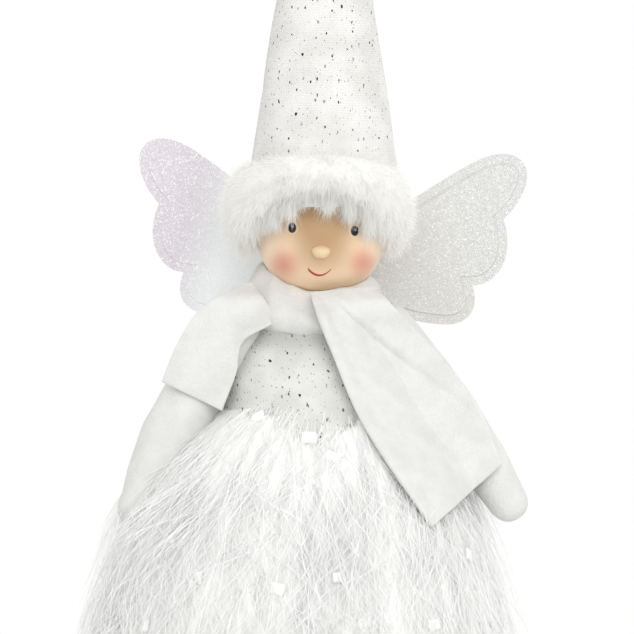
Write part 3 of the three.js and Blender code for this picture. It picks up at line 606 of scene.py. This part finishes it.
def ribbon_snips():
    luck = np.random.default_rng(77)
    thickness, edge, scattered, steepest = 1.4, 0.65, 22, 0.95
    seen = (
        (-22, 167), (-4, 160), (4, 153), (6, 111), (-15, 107), (-61, 93), (-54, 151), (-43, 111),
        (33, 105), (15, 95), (39, 94), (51, 118), (45, 131),
    )
    places = []
    for across, height in seen:
        angle = 0.0
        for _ in range(4):
            sideways = across / float(fringe_bed(angle, height))
            angle = math.asin(max(-steepest, min(steepest, sideways)))
        places.append((angle, height))
    places += zip(luck.uniform(1.2, 2 * np.pi - 1.2, scattered), luck.uniform(12, 158, scattered))
    snips = []
    for angle, height in places:
        radius = float(fringe_bed(angle, height)) + luck.uniform(0.5, 1.9)
        size = (luck.uniform(4.4, 5.8) * MM, thickness * MM, luck.uniform(3.6, 4.6) * MM)
        tilt = (luck.uniform(-0.5, 0.1), luck.uniform(-0.5, 0.5), angle + luck.uniform(-0.4, 0.4))
        spot = (radius * math.sin(angle) * MM, -radius * math.cos(angle) * MM, height * MM)
        cut = {"size": 1, "scale": size, "location": spot, "rotation": tilt}
        snips.append(new_piece("fringe_ribbon_snip", bpy.ops.mesh.primitive_cube_add, **cut))
    bpy.ops.object.select_all(action="DESELECT")
    for snip in snips:
        snip.select_set(True)
    bpy.ops.object.join()
    joined = bpy.context.object
    joined.name = joined.data.name = "fringe_ribbon_snips"
    apply_modifier(joined, "BEVEL", width=edge * MM, segments=3)
    bpy.ops.object.shade_smooth()
    return joined


ribbon = pile_material("white_ribbon", 0.8, (248, 248, 246), (255, 255, 253), 0.03, 0.4)
belongs(ribbon_snips(), ribbon, "figure", "fringe_yarn")


# Head: a turned wooden ball, painted skin colour and satin varnished, on the neck dowel.
# Eyes, blush and a thin smile are painted on, and an oval cream bead is glued on as the nose.
HEAD_HEIGHT, HEAD_RADIUS, CHEEK_WIDTH, CHEEK_SWELL = 233.0, 23.2, 9, 0.25


def turned_ball():
    ball = new_piece(
        "painted_head", bpy.ops.mesh.primitive_uv_sphere_add,
        segments=128, ring_count=80, radius=HEAD_RADIUS * MM, location=(0, 0, HEAD_HEIGHT * MM),
    )
    cheeks = [Vector((side * 14, -17, 222)) * MM for side in (-1, 1)]
    for point in ball.data.vertices:
        near = sum(math.exp(-((point.co - cheek).length / (CHEEK_WIDTH * MM)) ** 2) for cheek in cheeks)
        point.co += point.normal * near * CHEEK_SWELL * MM
    bpy.ops.object.shade_smooth()
    return ball


def oval(tree, axes, centre, half, inside=0.85, outside=1.1):
    squares = []
    for axis, middle, size in zip((axes[0], axes[2]), centre, half):
        away = maths(tree, "DIVIDE", maths(tree, "SUBTRACT", axis, middle * MM), size * MM)
        squares.append(times(tree, away, away))
    return fade(tree, maths(tree, "SQRT", maths(tree, "ADD", *squares)), outside, inside)


def smile(tree, axes):
    middle, half, rise, level = -0.5, 4.3, 2.4, 217.6
    across = maths(tree, "DIVIDE", maths(tree, "SUBTRACT", axes[0], middle * MM), half * MM)
    lip = scaled(tree, times(tree, across, across), rise * MM, level * MM)
    away = maths(tree, "ABSOLUTE", maths(tree, "SUBTRACT", axes[2], lip))
    width = scaled(tree, across, -0.24 * MM, 0.5 * MM)
    line = fade(tree, away, width, times(tree, width, 0.5))
    return times(tree, line, fade(tree, maths(tree, "ABSOLUTE", across), 1.05, 0.9))


def painted_face():
    blushes, eyes = ((-13.2, 221.6), (15.2, 222.2)), ((-10.3, 234.6), (12.1, 233.5))
    varnish = {"coat_weight": 0.06, "coat_roughness": 0.4}
    material, tree, shader, where = start_material("painted_face", 0.55, **varnish)
    axes = add_node(tree, "SeparateXYZ", {0: where["Object"]}).outputs
    front = fade(tree, axes[1], -2 * MM, -8 * MM)
    mottle = noise(tree, where["Object"], 90.0, 3.0)[0]
    # Painted shade and highlight: the muzzle and brow ovals paint the middle of the face a darker tan, as
    # the varnished ball's reflection of dark surroundings, and the sides (edge) are painted lighter, a
    # painted highlight that also lifts the shade of the brim and collar.
    muzzle_shade = oval(tree, axes, (0.6, 226), (14, 10), 0.3, 1.0)
    brow_shade = oval(tree, axes, (0.4, 236), (16, 15), 0.3, 1.0)
    edge = fade(tree, maths(tree, "ABSOLUTE", axes[0]), 13 * MM, 21 * MM)
    coats = [
        (muzzle_shade, 0.9, (202, 169, 134)), (brow_shade, 0.9, (180, 143, 101)), (edge, 0.8, (252, 230, 205)),
    ]

    def dab(strength, colour, *shape):
        coats.append((times(tree, oval(tree, axes, *shape), front), strength, colour))

    for place in blushes:
        dab(0.75, (214, 134, 118), place, (8.0, 7.6), 0.0, 1.0)
    for across, height in eyes:
        dab(0.7, (228, 206, 176), (across, height), (2.1, 2.5), 0.75, 1.15)
        dab(1.0, (18, 15, 14), (across, height), (1.5, 1.9))
        # Painted highlight: a small grey dot in each eye.
        dab(1.0, (172, 170, 172), (across + 0.1, height + 0.4), (0.45, 0.55), 0.4, 1.2)
    coats.append((times(tree, smile(tree, axes), front), 1.0, (186, 54, 54)))
    skin = mixed(tree, mottle, (230, 200, 166), (238, 209, 178))
    for mask, strength, colour in coats:
        skin = mixed(tree, times(tree, mask, strength), skin, colour)
    gloss = scaled(tree, mottle, 0.16, 0.5)
    surface(tree, shader, mottle, 0.05, base_color=skin, roughness=gloss)
    return material


belongs(turned_ball(), painted_face(), "figure", "painted_skin", "head_ball")


def oval_bead():
    level, flare = 225.9, 0.06
    bead = new_piece(
        "nose_bead_cream", bpy.ops.mesh.primitive_uv_sphere_add, segments=48, ring_count=32, radius=1,
        location=(0, -22.0 * MM, level * MM), scale=(3.4 * MM, 2.6 * MM, 2.45 * MM),
    )
    for point in bead.data.vertices:
        point.co.x *= 1 + flare * math.sin((point.co.z / MM - level) * 1.2)
    bpy.ops.object.shade_smooth()
    return bead


belongs(
    oval_bead(),
    pile_material("cream_bead", 1.5, (218, 189, 148), (230, 205, 168), 0.02, 0.45, coat_weight=0.1),
    "figure", "cream_bead", "nose_bead",
)


# Hat: a tall cone of the bodice's specked knit, sewn up the back and stuffed so that it stands.
# It leans a little to the angel's left, with soft creases where the filling ends. Each crease is given
# by its turn round the hat, its height and lean, and its length, width and depth.
HAT_RIM_HEIGHT, HAT_TOP, HAT_RIM_RADIUS, HAT_TIP_RADIUS = 242.0, 399.2, 28.8, 5.7
HAT_OFFSET, HAT_LEAN, HAT_LEAN_HEIGHT = 0.9, 9, 158
HAT_CREASES = (
    (0.2, 271, 0.45, 9, 2.6, -0.9), (0.32, 266, 0.4, 7, 2.2, -0.6), (0.95, 277, -0.5, 9, 3.0, -0.7),
    (-0.8, 284, 0.35, 12, 3.4, -0.5), (-0.1, 302, -0.3, 10, 3.6, -0.35), (2.4, 270, 0.3, 14, 3.2, -0.9),
    (-2.2, 290, -0.4, 14, 3.4, -0.8), (3.0, 320, 0.2, 16, 4.0, -0.7), (1.6, 335, 0.4, 12, 3.0, -0.6),
    (-1.5, 345, -0.4, 12, 3.0, -0.6), (0.4, 352, 0.5, 9, 2.6, -0.6),
)


def hat_place(around, along):
    straight = 0.95
    angle = full_turn(around)
    climb = np.minimum(along / straight, 1)
    height = HAT_RIM_HEIGHT + (HAT_TOP - HAT_TIP_RADIUS - HAT_RIM_HEIGHT) * climb
    radius = HAT_RIM_RADIUS + (HAT_TIP_RADIUS - HAT_RIM_RADIUS) * climb
    closing = limited((along - straight) / (1 - straight)) * np.pi / 2
    height = height + HAT_TIP_RADIUS * np.sin(closing)
    radius = radius * np.cos(closing)
    creases = np.zeros_like(angle)
    for turn, level, lean, length, width, depth in HAT_CREASES:
        offset = (np.mod(angle - turn + np.pi, 2 * np.pi) - np.pi) * np.maximum(radius, 4)
        run = offset * math.cos(lean) + (height - level) * math.sin(lean)
        cross = -offset * math.sin(lean) + (height - level) * math.cos(lean)
        creases += depth * np.exp(-((run / length) ** 2) - (cross / width) ** 2)
    swell = 0.5 * np.sin(height * 0.07 + 1.2 * np.sin(angle)) * np.sin(np.pi * along)
    radius = np.maximum(radius + (creases + swell) * np.cos(closing), 0)
    rise = limited((height - HAT_RIM_HEIGHT) / HAT_LEAN_HEIGHT)
    x, y = about_axis(radius, angle)
    return (HAT_OFFSET + HAT_LEAN * rise**3 + x, y, height), (angle * np.maximum(radius, 3), height)


hat = sewn_cloth("hat_knit", 144, 150, hat_place)
apply_modifier(hat, "SOLIDIFY", thickness=KNIT_THICKNESS * MM, offset=-1.0)
belongs(
    hat,
    specked_knit("hat_knit", (230, 229, 225), (243, 242, 239), 0.42, 263),
    "figure", "specked_knit", "hat_shell",
)


# Brim: a strip of long pile fur stitched round the rim of the hat, low at the sides and high in front.
# The pile stands out all round and hangs in ragged points over the forehead.
# Its edges are heights over the head's middle, in front, at the sides and behind.
BRIM_LOW, BRIM_HIGH, BRIM_CENTRE = (11.0, -7.5, 4), (30, 25, 28), (-1.0, -1.5)
BRIM_RADIUS, BRIM_ROLL, BRIM_PULL = 28.6, 4.4, 2.2
FOREHEAD_POINTS = (-16.0, -10.5, 2.5, 10.0, 16.5)


def saddle(edge, turn):
    front, side, back = edge
    mean = ((front + back) / 2 + side) / 2
    return mean + (mean - side) * np.cos(2 * turn) - (back - front) / 2 * np.cos(turn)


def brim_surface(angle, turn, grow):
    low, high = (HEAD_HEIGHT + saddle(edge, angle) for edge in (BRIM_LOW, BRIM_HIGH))
    outward = BRIM_RADIUS + (BRIM_ROLL + grow) * np.cos(turn) - BRIM_PULL * np.sin(turn) ** 2
    height = (low + high) / 2 + ((high - low) / 2 - BRIM_PULL + grow) * np.sin(turn)
    x, y = about_axis(outward, angle)
    return np.stack([BRIM_CENTRE[0] + x, BRIM_CENTRE[1] + y, height], axis=-1)


def brim_place(around, along):
    angle = full_turn(around)
    turn = along * 2 * np.pi
    lumps = 0.25 * np.sin(7 * angle + 2 * np.sin(turn)) * np.cos(3 * turn + angle)
    lumps += 0.5 * (np.sin(17 * angle + 1) + np.sin(31 * angle)) * np.maximum(-np.sin(turn), 0) ** 2
    return tuple(brim_surface(angle, turn, lumps).T), (angle * 30, turn * 9)


def unit(ways):
    return ways / np.linalg.norm(ways, axis=1, keepdims=True)


def fur_paths(count, seed, low_turn, high_turn, reach):
    luck = np.random.default_rng(seed)
    angle = luck.uniform(-reach, reach, count)
    turn = luck.uniform(low_turn, high_turn, count)
    root = brim_surface(angle, turn, -0.6)
    out = unit(brim_surface(angle, turn, 1.0) - root)
    tufts = np.stack([np.sin(root @ luck.normal(0, 0.35, 3) + phase) for phase in (1, 0, 2)], axis=1)
    way = 0.6 * out + 0.1 * tufts + luck.normal(0, 0.25, (count, 3)) + np.array([0, 0, -0.4])
    to_point = np.array(FOREHEAD_POINTS) - root[:, :1]
    to_point = to_point[np.arange(count), np.abs(to_point).argmin(axis=1)]
    hanging = (turn < -0.9) & (np.cos(angle) > 0.3)
    way[:, 0] += np.where(hanging, 0.12 * np.clip(to_point, -3, 3), 0)
    way = unit(way)
    length = luck.uniform(3.0, 5.6, count) + np.where(hanging, 3.0 * bell(to_point, 2), 0)
    length *= np.where(np.cos(angle) < -0.1, 0.75, 1.0)
    along = np.linspace(0, 1, 4)[None, :, None]
    bend = luck.normal(0, 0.3, (count, 3)) + np.array([0, 0, -0.45])
    hair = way[:, None] * along + bend[:, None] * along**2 * 0.6
    paths = root[:, None] + length[:, None, None] * hair
    widths = luck.uniform(0.08, 0.16, count)[:, None] * (1 - 0.6 * along[:, :, 0])
    return paths, widths, luck.random(count)


brim = sewn_cloth("brim_backing", 128, 40, brim_place)
fur = satin_fibre("brim_fur", (243, 242, 238), (250, 250, 247), 0.75)
belongs(
    brim,
    pile_material("brim_pile", 1.6, (240, 239, 235), (249, 248, 245), 0.4, 0.95),
    "figure", "white_fur", "hat_brim",
)
for name, count, *part in (
    ("brim_fur_upper", 11800, 41, 0.0, 2.3, np.pi), ("brim_fur_lower", 11800, 42, -2.0, 0.1, np.pi),
    ("brim_fur_front", 2400, 43, -1.9, -0.9, 0.9),
):
    belongs(filaments(name, *fur_paths(count, *part)), fur, "figure", "white_fur")


# Scarf, neck part: a strip of white fleece wound once round the neck in a soft thick roll.
# It rises round the sides of the head and lies lower under the chin. Its edges are heights over the neck,
# in front, at the sides and behind.
COLLAR_LOW, COLLAR_HIGH, COLLAR_CENTRE = (-10, -5, -3), (6, 14, 16), (-2.5, 5.0)
COLLAR_RADIUS, COLLAR_ROLL, COLLAR_RIGHT_RISE, HEAD_GAP = 18.5, 6.2, 4, 0.1


def collar_edge(edge, angle):
    return NECK_HEIGHT + saddle(edge, angle + np.pi / 2)


def collar_shape(angle, turn):
    fold = 0.7 * (np.sin(3 * turn + 2 * angle) - 1)
    return fold * np.maximum(np.cos(turn), 0) - 3 * np.sin(turn)


def clear_of_ball(x, y, height, radius):
    away = np.stack([x, y, height - HEAD_HEIGHT])
    push = np.maximum(radius / np.linalg.norm(away, axis=0), 1)
    return away[0] * push, away[1] * push, HEAD_HEIGHT + away[2] * push


def collar_place(around, along):
    angle, turn = around * 2 * np.pi, along * 2 * np.pi
    low = collar_edge(COLLAR_LOW, angle)
    high = collar_edge(COLLAR_HIGH, angle) + COLLAR_RIGHT_RISE * np.maximum(-np.cos(angle), 0) ** 2
    wrinkle = 0.35 * np.sin(11 * angle + 3 * turn) * np.cos(2 * angle - turn)
    outward = COLLAR_RADIUS + COLLAR_ROLL * np.cos(turn) + collar_shape(angle, turn) + wrinkle
    height = (low + high) / 2 + (high - low) / 2 * np.sin(turn) + wrinkle
    x = COLLAR_CENTRE[0] + outward * np.cos(angle)
    y = COLLAR_CENTRE[1] + outward * np.sin(angle)
    return clear_of_ball(x, y, height, HEAD_RADIUS + HEAD_GAP), (angle * 22, turn * 9)


fleece = pile_material(
    "white_fleece", 1.1, (217, 217, 214), (232, 232, 229), 0.45, 0.95, sheen_weight=0.2
)
collar = sewn_cloth("scarf_roll", 144, 56, collar_place)
belongs(collar, fleece, "figure", "white_fleece", "scarf_collar")


# Arms: two narrow bags of the same fleece, stuffed and sewn on at the shoulders, with round mitten ends.
# They hang out to the sides and a little forward, over the top of the skirt.
ARM_RADIUS, ARM_LENGTH, ARM_FORWARD, SHOULDER_PIVOT = 8.5, 84.0, math.radians(12), 199.0
RIGHT_SHOULDER, LEFT_SHOULDER = -27.01, 24.857


def arm_place(around, along, side, fullness):
    end = 0.12
    angle = around * 2 * np.pi
    top = limited(along / end) * np.pi / 2
    tip = limited((along - (1 - end)) / end) * np.pi / 2
    middle = limited((along - end) / (1 - 2 * end))
    belly = np.sin(np.pi * middle)
    drop = -ARM_RADIUS * np.cos(top) + (ARM_LENGTH - ARM_RADIUS) * middle + ARM_RADIUS * np.sin(tip)
    taper = 1.2 * limited((middle - 0.6) / 0.4) ** 2
    radius = (ARM_RADIUS - 0.7 * belly**2 - taper) * np.sin(top) * np.cos(tip) ** 0.8
    creases = 0.22 * np.sin(middle * 26 + 1.5 * np.sin(angle)) * belly * np.cos(angle)
    seam = -0.35 * bell(np.mod(angle - 1.2, 2 * np.pi), 0.12) * belly
    full = fullness * belly * (0.5 + 0.5 * side * np.cos(angle)) ** 2
    radius = radius + creases + seam + full
    return (radius * np.cos(angle), radius * np.sin(angle), -drop), (angle * 8, drop)


for name, side, spread, pivot, fullness in (
    ("right", -1, 31, RIGHT_SHOULDER, 6.4), ("left", 1, 34, LEFT_SHOULDER, 2.5),
):
    arm = sewn_cloth(f"{name}_arm_fleece", 64, 110, arm_place, side, fullness)
    turned = Matrix.Rotation(-side * math.radians(spread), 4, "Y") @ Matrix.Rotation(-ARM_FORWARD, 4, "X")
    arm.data.transform(Matrix.Translation((pivot * MM, 0, SHOULDER_PIVOT * MM)) @ turned)
    belongs(arm, fleece, f"{name}_arm", "white_fleece", f"{name}_arm_sleeve")


# Scarf, two ends: the long one falls from under the chin across the angel's left arm, and the short one
# lies over the right shoulder like a cape. Both are single fleece with a cut edge, laid over what is
# under them. Their edges are points across the figure and over the neck, from top to bottom.
TAIL_THICKNESS, TAIL_GAP, BODY_GAP = 2.0, 1.2, 2.5
LONG_INNER = ((-4, 5), (3.5, -15), (15, -42), (39, -78))
LONG_OUTER = ((19, 7.5), (37, -11), (55.5, -33.5), (64.8, -56))
SHORT_INNER = ((-15, -5), (-28, -12), (-30.5, -24), (-35.5, -37))
SHORT_OUTER = ((-25, 9), (-42, 0.5), (-51.5, -13), (-57, -26.5))


def spline(points, where):
    points = np.array(points, dtype=float)
    spans = len(points) - 1
    place = limited(where) * spans
    start = np.minimum(place.astype(int), spans - 1)
    part = (place - start)[:, None]
    p0, p1 = points[np.maximum(start - 1, 0)], points[start]
    p2, p3 = points[start + 1], points[np.minimum(start + 2, spans)]
    pull0, pull1 = (p2 - p0) / 2, (p3 - p1) / 2
    cubic = (2 * p1 - 2 * p2 + pull0 + pull1) * part**3
    return cubic + (3 * p2 - 3 * p1 - 2 * pull0 - pull1) * part**2 + pull0 * part + p1


def eased(share):
    share = limited(share)
    return share * share * (3 - 2 * share)


def in_round(x, half, depth, centre=0.0):
    return depth * np.sqrt(np.maximum(1 - ((x - centre) / half) ** 2, 0))


def collar_reach(x, height):
    widest, roll, lead = 25.43, 6.25, 16
    angle = -np.arccos(np.clip((x - COLLAR_CENTRE[0]) / widest, -1, 1))
    low, high = collar_edge(COLLAR_LOW, angle), collar_edge(COLLAR_HIGH, angle)
    turn = np.arcsin(limited((2 * height - low - high) / (high - low)))
    outward = COLLAR_RADIUS + roll * np.cos(turn) + collar_shape(angle, turn)
    return eased((height - low + lead) / lead) * (outward * -np.sin(angle) - COLLAR_CENTRE[1])


def tail_front(x, height, over_collar):
    fringe_rise, fringe_drop, blend, clearance = 9.85, 18.7, 6, 0.65
    width, depth, centre = body_half(height)
    body = in_round(x, width + BODY_GAP, depth + BODY_GAP, centre)
    fall = limited((LINING_TOP - height) / fringe_drop)
    skirt = lining_radius(height) + BODY_GAP + fringe_rise * fall
    reaches = [np.where(height > LINING_TOP, body, in_round(x, skirt, skirt))]
    if over_collar:
        reaches.append(np.maximum(collar_reach(x, height), 0))
    swing = np.hypot(x - np.where(x < 0, RIGHT_SHOULDER, LEFT_SHOULDER), height - SHOULDER_PIVOT)
    below = 1 - eased((height - SHOULDER_PIVOT - ARM_RADIUS) / ARM_RADIUS)
    reaches.append(below * (swing * math.tan(ARM_FORWARD) + ARM_RADIUS / math.cos(ARM_FORWARD)))
    return sum(reach**blend for reach in reaches) ** (1 / blend) + clearance


def tail_place(across, along, inner, outer, over_collar, fold):
    start, finish = spline(inner, 1 - along), spline(outer, 1 - along)
    flat = start + (finish - start) * across[:, None]
    x, height = flat[:, 0], NECK_HEIGHT + flat[:, 1]
    front = tail_front(x, height, over_collar) + TAIL_GAP + fold(across, 1 - along)
    return (x, -front, height), (across * 34, along * 98)


def long_fold(across, down):
    ridge = 3.8 * bell(across - 0.05, 0.06) * (1 - 0.8 * down)
    flap = 4.0 * eased((across - 0.25 - 1.0 * down) / 0.12 + 0.5) * (1 - down) ** 1.5
    crest = 0.9 * bell(across - 0.5, 0.3) * (0.2 + 0.8 * down)
    ripple = 0.4 * np.sin(9 * across + 5 * down) * np.sin(np.pi * down)
    return (ridge + flap) * eased(down / 0.2) + crest + ripple + 0.5


def short_fold(across, down):
    tucked = -2.5 * limited(1 - down / 0.16) * (1 - across)
    forward = 3.5 * across * limited(1 - down / 0.4)
    swell = 5.6 * bell(across - 0.45, 0.45) * np.sin(np.pi * limited(down * 1.02) ** 0.85)
    ripple = 0.5 * np.sin(7 * across + 4 * down) * down
    return tucked + forward + swell + ripple + 0.5


for name, cut, rows, *lie in (
    ("long", (0.04, 0.102), 80, LONG_INNER, LONG_OUTER, True, long_fold),
    ("short", (0.026, 0.045), 56, SHORT_INNER, SHORT_OUTER, False, short_fold),
):
    tail = sewn_cloth(f"scarf_{name}_end", 44, rows, tail_place, *lie)
    apply_modifier(tail, "SOLIDIFY", thickness=TAIL_THICKNESS * MM, offset=0.0)
    apply_modifier(tail, "SUBSURF", levels=1, render_levels=1)
    belongs(tail, fleece, f"{name}_tail", "white_fleece", f"scarf_{name}_tail")


# Wings: two glitter sheets glued face out on a card core, with a raised line where the core ends.
# Each is sewn by its root to a strip behind the collar, and springs on that seam. The edge is a chain
# of curves from the foot of the root to its head, each with two pulls and an end.
WING_FOOT = (0.0, -10.0)
WING_EDGE = (
    ((12.4, -18.9), (24.7, -22.6), (38.1, -23.1)), ((47.4, -23.6), (53, -17.9), (49.4, -8.4)),
    ((57.7, -8.4), (65.4, 2.1), (59.7, 16.3)), ((64.9, 21), (70.6, 31.5), (66.4, 36.8)),
    ((63.3, 41.5), (55.6, 41), (47.4, 36.2)), ((30.9, 26.3), (12.4, 11.6), (0, 6)),
)
WING_SEAT, WING_TILT, WING_SWEEP, WING_ROOT, WING_HALF = (3, 30.233, 225), 2.6, 10, (4, 1.0), 0.65


def wing_outline(side):
    points = [np.array(WING_FOOT)]
    for first, second, end in WING_EDGE:
        start = points[-1]
        for step in np.linspace(0, 1, 13)[1:]:
            back = 1 - step
            points.append(
                back**3 * start + 3 * back**2 * step * np.array(first)
                + 3 * back * step**2 * np.array(second) + step**3 * np.array(end)
            )
    return [(side * point[0] * MM, 0.0, point[1] * MM) for point in points]


def raise_line():
    for width, rise in ((0.5, 0), (2.6, 0), (0.5, 0.35), (0.7, -0.1)):
        bpy.ops.mesh.inset(thickness=width * MM, depth=rise * MM)


def close_rim():
    bpy.ops.mesh.select_all(action="DESELECT")
    bpy.ops.mesh.select_mode(type="EDGE")
    bpy.ops.mesh.select_non_manifold()
    bpy.ops.mesh.bridge_edge_loops()


def glitter_wing(name, side):
    outline = wing_outline(side)
    mesh = bpy.data.meshes.new(name)
    mesh.from_pydata(outline, [], [tuple(range(len(outline)))])
    wing = place_in_scene(name, mesh)
    bpy.ops.object.select_all(action="DESELECT")
    wing.select_set(True)
    shape_faces(wing, face_outward, raise_line)
    for point in wing.data.vertices:
        point.co.y = -abs(point.co.y) - WING_HALF * MM
    if max(wing.data.polygons, key=lambda face: face.area).normal.y > 0:
        wing.data.flip_normals()
    apply_modifier(wing, "MIRROR", use_axis=(False, True, False), use_mirror_merge=False)
    shape_faces(wing, close_rim, face_outward)
    seat = Matrix.Translation(Vector(WING_SEAT) * MM) @ Matrix.Rotation(math.radians(WING_TILT), 4, "Y")
    root = Matrix.Translation(Vector((side * WING_ROOT[0], WING_ROOT[1], 0)) * MM)
    wing.data.transform(seat @ root @ Matrix.Rotation(side * math.radians(WING_SWEEP), 4, "Z"))
    return wing


def make_glitter_flakes():
    group, given, made = start_group("glitter_flakes", ("Vector", "Flake"), ("Shade", "Hue", "Spark"))
    scale = maths(group, "DIVIDE", 1.0 / MM, given["Flake"])
    cells = add_node(group, "TexVoronoi", {"Vector": given["Vector"], "Scale": scale})
    picks = add_node(group, "SeparateColor", {0: cells.outputs["Color"]}).outputs
    link(group, made, shade=picks[0], hue=picks[1], spark=fade(group, picks[2], 0.8, 0.95))
    return group


glitter_flakes = make_glitter_flakes()


def glitter(name, root_tint_and_light, tip_colour, flash_colour, sparkle):
    material, tree, shader, where = start_material(name, 0.4)
    flakes = use_group(tree, glitter_flakes, Vector=where["Object"], Flake=0.38)
    axes = add_node(tree, "SeparateXYZ", {0: where["Object"]}).outputs
    across = maths(tree, "ABSOLUTE", maths(tree, "SUBTRACT", axes[0], WING_SEAT[0] * MM))
    rise = scaled(tree, axes[2], 0.3, -67 * MM)
    out = fade(tree, maths(tree, "ADD", across, rise), 37 * MM, 60 * MM)
    # Painted light and shade at the root: the opal root is the sheet's own cyan-white tint, raised to
    # near white as painted light against the shade of the brim and hat; the silver root is painted darker
    # as the shade of the head and scarf.
    ground = mixed(tree, out, root_tint_and_light, tip_colour)
    flash = times(tree, flakes["Hue"], scaled(tree, out, 0.6, 0.1))
    ground = mixed(tree, flash, ground, flash_colour)
    # Painted shade and glints: flakes mixed towards grey are painted shade and flakes mixed to white are
    # painted glints, for flakes turned away from and into the light; fewer flakes are dimmed near the
    # root, as painted light.
    shaded = times(tree, flakes["Shade"], scaled(tree, out, 0.24, 0.06))
    dim = mixed(tree, shaded, ground, (150, 148, 152))
    lit = mixed(tree, times(tree, flakes["Spark"], sparkle), dim, (255, 255, 255))
    gloss = scaled(tree, flakes["Shade"], 0.3, 0.25)
    metal = scaled(tree, flakes["Spark"], 0.12, 0.06)
    surface(tree, shader, flakes["Shade"], 0.12, 0.6, base_color=lit, metallic=metal, roughness=gloss)
    return material


# Each wing's root colour holds painted light: near white on the opal wing, darker on the silver wing.
opal = glitter("opal_glitter", (250, 255, 254), (221, 216, 219), (236, 226, 240), 0.8)
silver = glitter("silver_glitter", (205, 203, 198), (213, 214, 209), (218, 219, 219), 0.28)
for name, side, finish in (("right", -1, opal), ("left", 1, silver)):
    wing = glitter_wing(f"{name}_wing_glitter", side)
    layers = [f"{name}_wing_{layer}" for layer in ("front", "core", "back")]
    belongs(wing, finish, f"{name}_wing", "glitter_sheet", *layers)
dress(silver, "wing_patch")


# Setting: a pale round table top under the figure, soft light from the front right and all round,
# and a level camera far enough off that the figure hardly narrows towards its edges.
TABLE_RADIUS, AMBIENT, LAMPS_AIM = 0.9, 0.92, (0, 0, 0.2)
PHOTO_PIXELS, MM_PER_PIXEL, SENSOR = 634, 0.36, 36
CAMERA_DISTANCE, CAMERA_ACROSS, CAMERA_HEIGHT = 3.0, -1.44, 202.7

floor = new_piece(
    "pale_table", bpy.ops.mesh.primitive_circle_add,
    vertices=96, radius=TABLE_RADIUS, fill_type="NGON", location=(0, 0, 0),
)
floor.data.materials.append(
    pile_material("pale_table", 40.0, (222, 222, 221), (230, 230, 229), 0.02, 0.8)
)

surround = bpy.data.worlds.new("white_surround")
bpy.context.scene.world = surround
surround.use_nodes = True
sky = surround.node_tree
rays = add_node(sky, "LightPath").outputs
seen = maths(sky, "MAXIMUM", rays["Is Camera Ray"], rays["Is Glossy Ray"])
seen = maths(sky, "MAXIMUM", seen, rays["Is Transmission Ray"])
background = sky.nodes["Background"].inputs
background["Color"].default_value = (1.0, 1.0, 1.0, 1.0)
link(sky, background, strength=scaled(sky, seen, 1.0 - AMBIENT, AMBIENT))


def soft_lamp(name, place, size, power):
    lamp = bpy.data.lights.new(name, "AREA")
    lamp.shape, lamp.size, lamp.energy = "DISK", size, power
    holder = place_in_scene(name, lamp)
    holder.location = place
    holder.rotation_euler = (Vector(LAMPS_AIM) - Vector(place)).to_track_quat("-Z", "Y").to_euler()


soft_lamp("key", (0.35, -1.5, 0.65), 1.4, 10)
soft_lamp("back", (0.5, 1.3, 0.9), 0.9, 4)
camera = bpy.data.cameras.new("photo_view")
camera.sensor_width = SENSOR
camera.lens = SENSOR * CAMERA_DISTANCE / (PHOTO_PIXELS * MM_PER_PIXEL * MM)
viewer = place_in_scene("photo_view", camera)
viewer.location = (CAMERA_ACROSS * MM, -CAMERA_DISTANCE, CAMERA_HEIGHT * MM)
viewer.rotation_euler = (math.pi / 2, 0, 0)
bpy.context.scene.camera = viewer
bpy.context.scene.view_settings.view_transform = "Standard"
